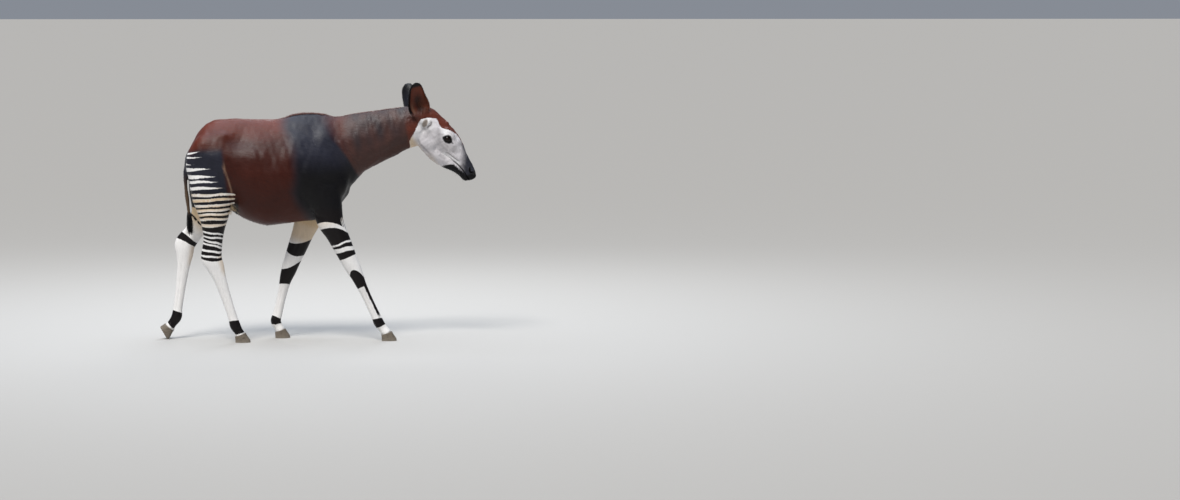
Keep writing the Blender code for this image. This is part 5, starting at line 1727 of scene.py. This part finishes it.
def scatter(paint, chance, count, draw):
    """Random places on the skin's faces, by area and by a chance given at its points. Returns
    a function that reads any of the points' values there."""
    faces = paint["faces"]
    co = paint["body"].co
    one, two, three = (co[faces[:, i]] for i in range(3))
    area = np.linalg.norm(np.cross(two - one, three - one), axis=1)
    weight = area * chance[faces].mean(axis=1)
    picked = faces[draw.choice(len(faces), size=count, p=weight / weight.sum())]
    share = draw.uniform(size=(count, 2))
    share = np.where(share.sum(axis=1)[:, None] > 1, 1 - share, share)
    share = np.column_stack((share, 1 - share.sum(axis=1)))

    def read(values):
        held = values[picked]
        return np.einsum("ij,ij...->i...", share, held)
    return read


def locks_on_skin(name, paint, chance, count, seed, way, length, width, bend, material,
                  tint=None):
    """Locks rooted on the skin where the chance allows. way gives each one's direction from
    its root's place and normal; length, width and bend are (least, most)."""
    draw = np.random.default_rng(seed)
    read = scatter(paint, np.asarray(chance, float), count, draw)
    normals = read(paint["body"].normal)
    normals /= np.linalg.norm(normals, axis=1)[:, None]
    roots = read(paint["body"].co) - normals * ROOT_DEPTH
    ways = way(roots, normals, draw)
    sizes = [draw.uniform(*pair, count) for pair in (length, width, bend)]
    dark, pale, edge = (read(paint[key]) for key in ("dark", "pale", "edge"))
    shade = draw.uniform(0.82, 1.22, count)[:, None]
    if tint:
        dark, edge = all_over(tint, count), np.full(count, OUTSIDE)
    colours = (dark * shade, pale, edge)
    return make_locks(name, roots, ways, normals, *sizes, colours, hide_unwrap(roots), material)


def hide_unwrap(roots):
    """A map of the hide by x and height, the right side below and the left mirrored above."""
    low, high, top = HIDE_REACH
    ahead = (roots[:, 0] - low) / (high - low)
    up = np.where(roots[:, 1] < 0, roots[:, 2], 2 * top - roots[:, 2]) / (2 * top)
    return np.column_stack((ahead, up))


def make_stage():
    bpy.ops.mesh.primitive_plane_add(size=800.0)
    floor = bpy.context.object
    floor.name = "floor"
    floor.data.materials.append(plain_material("floor", (0.46, 0.45, 0.43), 0.9))
    world = bpy.data.worlds.new("studio")
    world.use_nodes = True
    sky = world.node_tree.nodes["Background"]
    sky.inputs["Color"].default_value = (0.80, 0.87, 1.0, 1.0)
    sky.inputs["Strength"].default_value = 0.30
    bpy.context.scene.world = world
    bpy.context.scene.view_settings.view_transform = "Standard"


def add_light(name, kind, power, colour, way):
    """A light that shines along a way."""
    light = bpy.data.lights.new(name, kind)
    light.energy = power
    light.color = colour
    obj = link(name, light)
    obj.rotation_euler = Vector(way).to_track_quat("-Z", "Y").to_euler()
    return obj


def add_disk(name, place, aim, size, power, colour):
    obj = add_light(name, "AREA", power, colour, Vector(aim) - Vector(place))
    obj.location = place
    obj.data.shape = "DISK"
    obj.data.size = size


def make_lights():
    sun = add_light("main", "SUN", 3.1, (1.0, 0.975, 0.94), (0.30, 0.62, -1.0))
    sun.data.angle = math.radians(24)
    add_disk("sky_above", (-0.3, 0.5, 4.4), (-0.1, 0.0, 0.9), 4.0, 150.0, (0.80, 0.88, 1.0))
    add_disk("back_rim", (0.5, 3.6, 3.6), (0.0, 0.0, 1.0), 2.0, 45.0, (0.95, 0.97, 1.0))


def make_camera(shift):
    data = bpy.data.cameras.new("camera")
    data.sensor_fit = "HORIZONTAL"
    data.sensor_width = SENSOR
    data.lens = FOCAL_PIXELS / PHOTO_WIDTH * SENSOR
    camera = link("camera", data)
    camera.location = CAMERA_PLACE + shift
    yaw = math.atan2(PHOTO_WIDTH / 2 - BODY_COLUMN, FOCAL_PIXELS)
    pitch = math.atan2(PHOTO_HEIGHT / 2 - HORIZON_ROW, FOCAL_PIXELS)
    camera.rotation_euler = (math.pi / 2 - pitch, 0.0, -yaw)
    bpy.context.scene.camera = camera


def make_tail_tuft(material):
    """The black tuft: long locks that hang from round the tail's tip."""
    draw = np.random.default_rng(TUFT_SEED)
    angle = draw.uniform(0.0, math.tau, TUFT_LOCKS)
    drop = draw.uniform(0.0, 1.0, TUFT_LOCKS) ** 1.4
    ring = 0.0085 * (1 - 0.5 * drop)
    out = np.column_stack((np.cos(angle), np.sin(angle), np.zeros(TUFT_LOCKS)))
    roots = np.array(TUFT_TOP) + out * ring[:, None]
    roots[:, 2] += 0.012 - 0.050 * drop
    ways = out * draw.uniform(0.02, 0.16, TUFT_LOCKS)[:, None] + np.array((0.05, 0.0, -1.0))
    lengths = (roots[:, 2] - TUFT_BOTTOM) * draw.uniform(0.72, 1.0, TUFT_LOCKS)
    dark = np.array(BLACK) * draw.uniform(0.6, 1.9, TUFT_LOCKS)[:, None]
    colours = (dark, dark, np.full(TUFT_LOCKS, OUTSIDE))
    unwrap = np.column_stack((angle / math.tau, drop))
    widths = draw.uniform(0.0026, 0.0046, TUFT_LOCKS)
    bends = draw.uniform(-0.10, 0.02, TUFT_LOCKS)
    return make_locks("tail_locks", roots, ways, out, lengths, widths, bends, colours, unwrap,
                      material, LONG_LOCK)


def lean(way, share, spread):
    """Gives a direction along a way, leaning out of the skin by a share, with some spread."""
    def lean_out(roots, normals, draw):
        return np.array(way) + normals * share + draw.normal(size=roots.shape) * spread
    return lean_out


def make_crest(paint, material):
    """The low, uneven crest from the poll over the withers, tinted light as a painted rim highlight along the
    topline.
    """
    lean_back = lean((-0.90, 0.0, 0.0), 0.48, 0.18)
    body = paint["body"]
    x, z = body.flat.T
    top = (body.normal[:, 2] > 0.85) & (body.aside < 0.010) & (body.head < 0.5)
    withers = band(x, -0.17, -0.12, 0.02, 0.06)
    chance = top * ((x > -0.20) & (x < 0.53)) * (0.5 + 2.0 * withers)
    # Both rows take the light tint: a painted rim highlight.
    low = locks_on_skin("crest_locks", paint, chance * (1 - withers), CREST_LOCKS, CREST_SEED, lean_back,
                        (0.005, 0.009), (0.0010, 0.0018), (-0.1, 0.15), material, CREST_RIM_LIGHT)
    high = locks_on_skin("withers_locks", paint, top * withers, WITHERS_LOCKS, WITHERS_SEED, lean_back,
                         (0.008, 0.016), (0.0011, 0.0021), (-0.1, 0.2), material, CREST_RIM_LIGHT)
    return low, high


def make_coronet_hair(paint, material):
    """Short white hair over the top of each hoof."""
    body = paint["body"]
    ring = np.zeros(len(body.co))
    for name in LEGS:
        middle, up = coronet_plane(name)
        away = body.co - np.array(middle)
        height = away @ np.array(up)
        near = np.linalg.norm(away - height[:, None] * np.array(up), axis=1) < 0.060
        side = np.abs(body.normal @ np.array(up)) < 0.7
        ring += (np.abs(height - 0.006) < 0.006) * near * side
    down = lean((0.12, 0.0, -1.0), 0.22, 0.08)
    return locks_on_skin("coronet_hair", paint, ring, CORONET_LOCKS, CORONET_SEED, down,
                         (0.006, 0.013), (0.0009, 0.0017), (-0.25, 0.0), material, LEG_WHITE)


TRUNK_LIE = (-0.95, 0.0, -0.30)
LEG_LIE = (-0.10, 0.0, -1.0)


def lie_down(flatness, spread):
    """Hair that follows the coat's lie: back along the trunk, down the legs, down the face."""
    def way(roots, normals, draw):
        legs = leg_share(roots)[:, None]
        head = head_share(roots)[:, None]
        lie = np.array(TRUNK_LIE) * (1 - legs) + np.array(LEG_LIE) * legs
        lie = lie * (1 - head) - np.array(HEAD_ALONG) * head
        lie = lie - normals * np.sum(lie * normals, axis=1)[:, None]
        return lie + normals * flatness + draw.normal(size=roots.shape) * spread
    return way


def make_coat_hair(paint, material):
    """A thin layer of short hair that breaks the outline, on every side."""
    body = paint["body"]
    z = body.co[:, 2]
    bare = ramp(body.along, 0.33, 0.38) * body.on_face
    near_eye = (body.head > 0.5) & (eye_gap(body) < 0.030)
    chance = (1 - bare) * (1 - near_eye) * (1 - ramp(body.ear_up, 0.1, 0.2)) * (z > 0.05)
    chance = chance * (body.aside < WIDEST_HAIR) * (1 - 0.85 * ramp(-z, -0.55, -0.40)) * (1 - 0.6 * body.head)
    return [locks_on_skin(f"coat_hair_{number}", paint, chance, COAT_HAIRS, COAT_SEED + number,
                          lie_down(0.15, 0.04), (0.006, 0.010), (0.0008, 0.0014), (-0.12, 0.0), material)
            for number in range(COAT_HAIR_PIECES)]


def make_ear_fringe(paint, material):
    """Short black hair round the ears' rims and longer tan hair inside their front edge."""
    body = paint["body"]
    rim = (np.abs(body.ear_across) > 0.86) & (body.ear_up > 0.10) & (body.ear_up < 0.96)
    axes = {side: [np.array(w) for w in ear_axes(side)] for side in SIDES}

    def out_of_rim(roots, normals, draw):
        ways = np.empty_like(roots)
        for side in SIDES:
            up, across, out = axes[side]
            here = np.sign(roots[:, 1]) == side
            away = roots - np.array(ear_base(side))
            edge = np.sign(away @ across)[:, None] * across
            high = ramp(away @ up / EAR_LENGTH, 0.75, 1.0)[:, None]
            way = edge * (0.55 + 0.2 * high) + up * (0.80 - 0.6 * high)
            ways[here] = way[here]
        return ways + draw.normal(size=roots.shape) * 0.18

    fringe = locks_on_skin("ear_fringe", paint, rim, FRINGE_LOCKS, FRINGE_SEED, out_of_rim,
                           (0.003, 0.0062), (0.0006, 0.0011), (-0.1, 0.2), material, BLACK)
    inner = (body.ear_inside > 0.5) & (body.ear_across > 0.15) & (body.ear_up > 0.06) & (body.ear_up < 0.55)

    def over_cup(roots, normals, draw):
        ways = np.empty_like(roots)
        for side in SIDES:
            up, across, out = axes[side]
            here = np.sign(roots[:, 1]) == side
            ways[here] = up * 0.8 - across * 0.45 + out * 0.25
        return ways + draw.normal(size=roots.shape) * 0.12

    inside = locks_on_skin("ear_inner_hair", paint, inner, EAR_INNER_LOCKS, EAR_INNER_SEED, over_cup,
                           (0.008, 0.020), (0.0006, 0.0010), (-0.15, 0.10), material, EAR_HAIR)
    return fringe, inside


def make_flank_tuft(paint, material):
    """The tuft of cream hair where the flank's fold meets the thigh, on both sides."""
    body = paint["body"]
    x, z = body.flat.T
    place = spot(x, z, (-0.452, 0.690), (0.010, 0.014)) * (body.aside > 0.04)
    down = lean((0.75, 0.0, -0.6), 0.12, 0.08)
    return locks_on_skin("flank_tuft", paint, place, FLANK_LOCKS, FLANK_SEED, down,
                         (0.008, 0.024), (0.0010, 0.0018), (-0.2, 0.1), material, CREAM)


def make_whiskers(paint, material):
    """Dark whiskers on the lips and chin."""
    body = paint["body"]
    lips = (body.on_face > 0.5) & (body.along > 0.34) & (body.along < 0.41) & (body.above < -0.02)
    out = lean(HEAD_ALONG * 0.5, 1.0, 0.25)
    return locks_on_skin("whiskers", paint, lips, WHISKERS, WHISKER_SEED, out,
                         (0.008, 0.020), (0.0006, 0.0009), (-0.3, 0.1), material, BLACK)


def make_lashes(side, material):
    """Dark lashes along the upper lid, curving out and down."""
    draw = np.random.default_rng(LASH_SEED)
    roots, ways = [], []
    for f in np.linspace(-0.75, 0.85, LASHES) + draw.normal(size=LASHES) * 0.01:
        u = EYE_OPEN_LONG / 2 * f
        v = float(lid_height(np.array([f]), True)[0]) + 0.0006
        roots.append(eye_point(side, u, v, EYE_RADIUS + 0.0022))
        ways.append(EYE_TURN @ np.array((0.35 * f, 0.0, 0.25)) + np.array((0.0, side, -0.15)))
    ups = all_over(EYE_TURN[:, 2], LASHES)
    lengths = draw.uniform(0.008, 0.0125, LASHES)
    dark = all_over(BLACK, LASHES)
    unwrap = np.column_stack((np.linspace(0, 1, LASHES), np.full(LASHES, 0.5)))
    widths, bends, edge = (np.full(LASHES, value) for value in (0.0008, -0.30, OUTSIDE))
    ways = np.array(ways) + draw.normal(size=(LASHES, 3)) * 0.06
    return make_locks(f"lashes_{SIDES[side]}", np.array(roots), ways, ups, lengths, widths, bends,
                      (dark, dark, edge), unwrap, material)


def main():
    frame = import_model()
    low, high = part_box("eye_right")
    shift = (low + high) / 2 - eye_centre(RIGHT)
    make_camera(shift)
    make_stage()
    make_lights()
    coat, horn, eye, lid = coat_material(), horn_material(), eye_material(), lid_material()
    skin = make_skin()
    skin.data.materials.append(coat)
    paint = paint_skin(skin)
    pieces = [(skin, "coat", [n for n in frame["nodes"] if "hoof" not in n and not n.startswith("eye")
                              and n != "tail_tuft"])]
    for side, word in SIDES.items():
        pieces.append((make_eye(side, eye), "eye", [f"eye_{word}"]))
        pieces.append((make_lids(side, lid), "coat", []))
    for name in LEGS:
        for which, sign in (("inner", -side_of(name)), ("outer", side_of(name))):
            pieces.append((make_claw(name, which, sign, horn), "horn", [f"{name}_hoof_{which}"]))
    pieces.append((make_tail_tuft(coat), "coat", ["tail_tuft"]))
    hair = [*make_crest(paint, coat), make_coronet_hair(paint, coat), make_flank_tuft(paint, coat),
            make_whiskers(paint, coat), *make_ear_fringe(paint, coat)]
    hair += [make_lashes(side, coat) for side in SIDES]
    hair += make_coat_hair(paint, coat)
    pieces += [(locks, "coat", []) for locks in hair]
    for piece, slot, nodes in pieces:
        move_in(piece, shift)
        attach(piece, "root")
        if nodes:
            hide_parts(*nodes)


main()
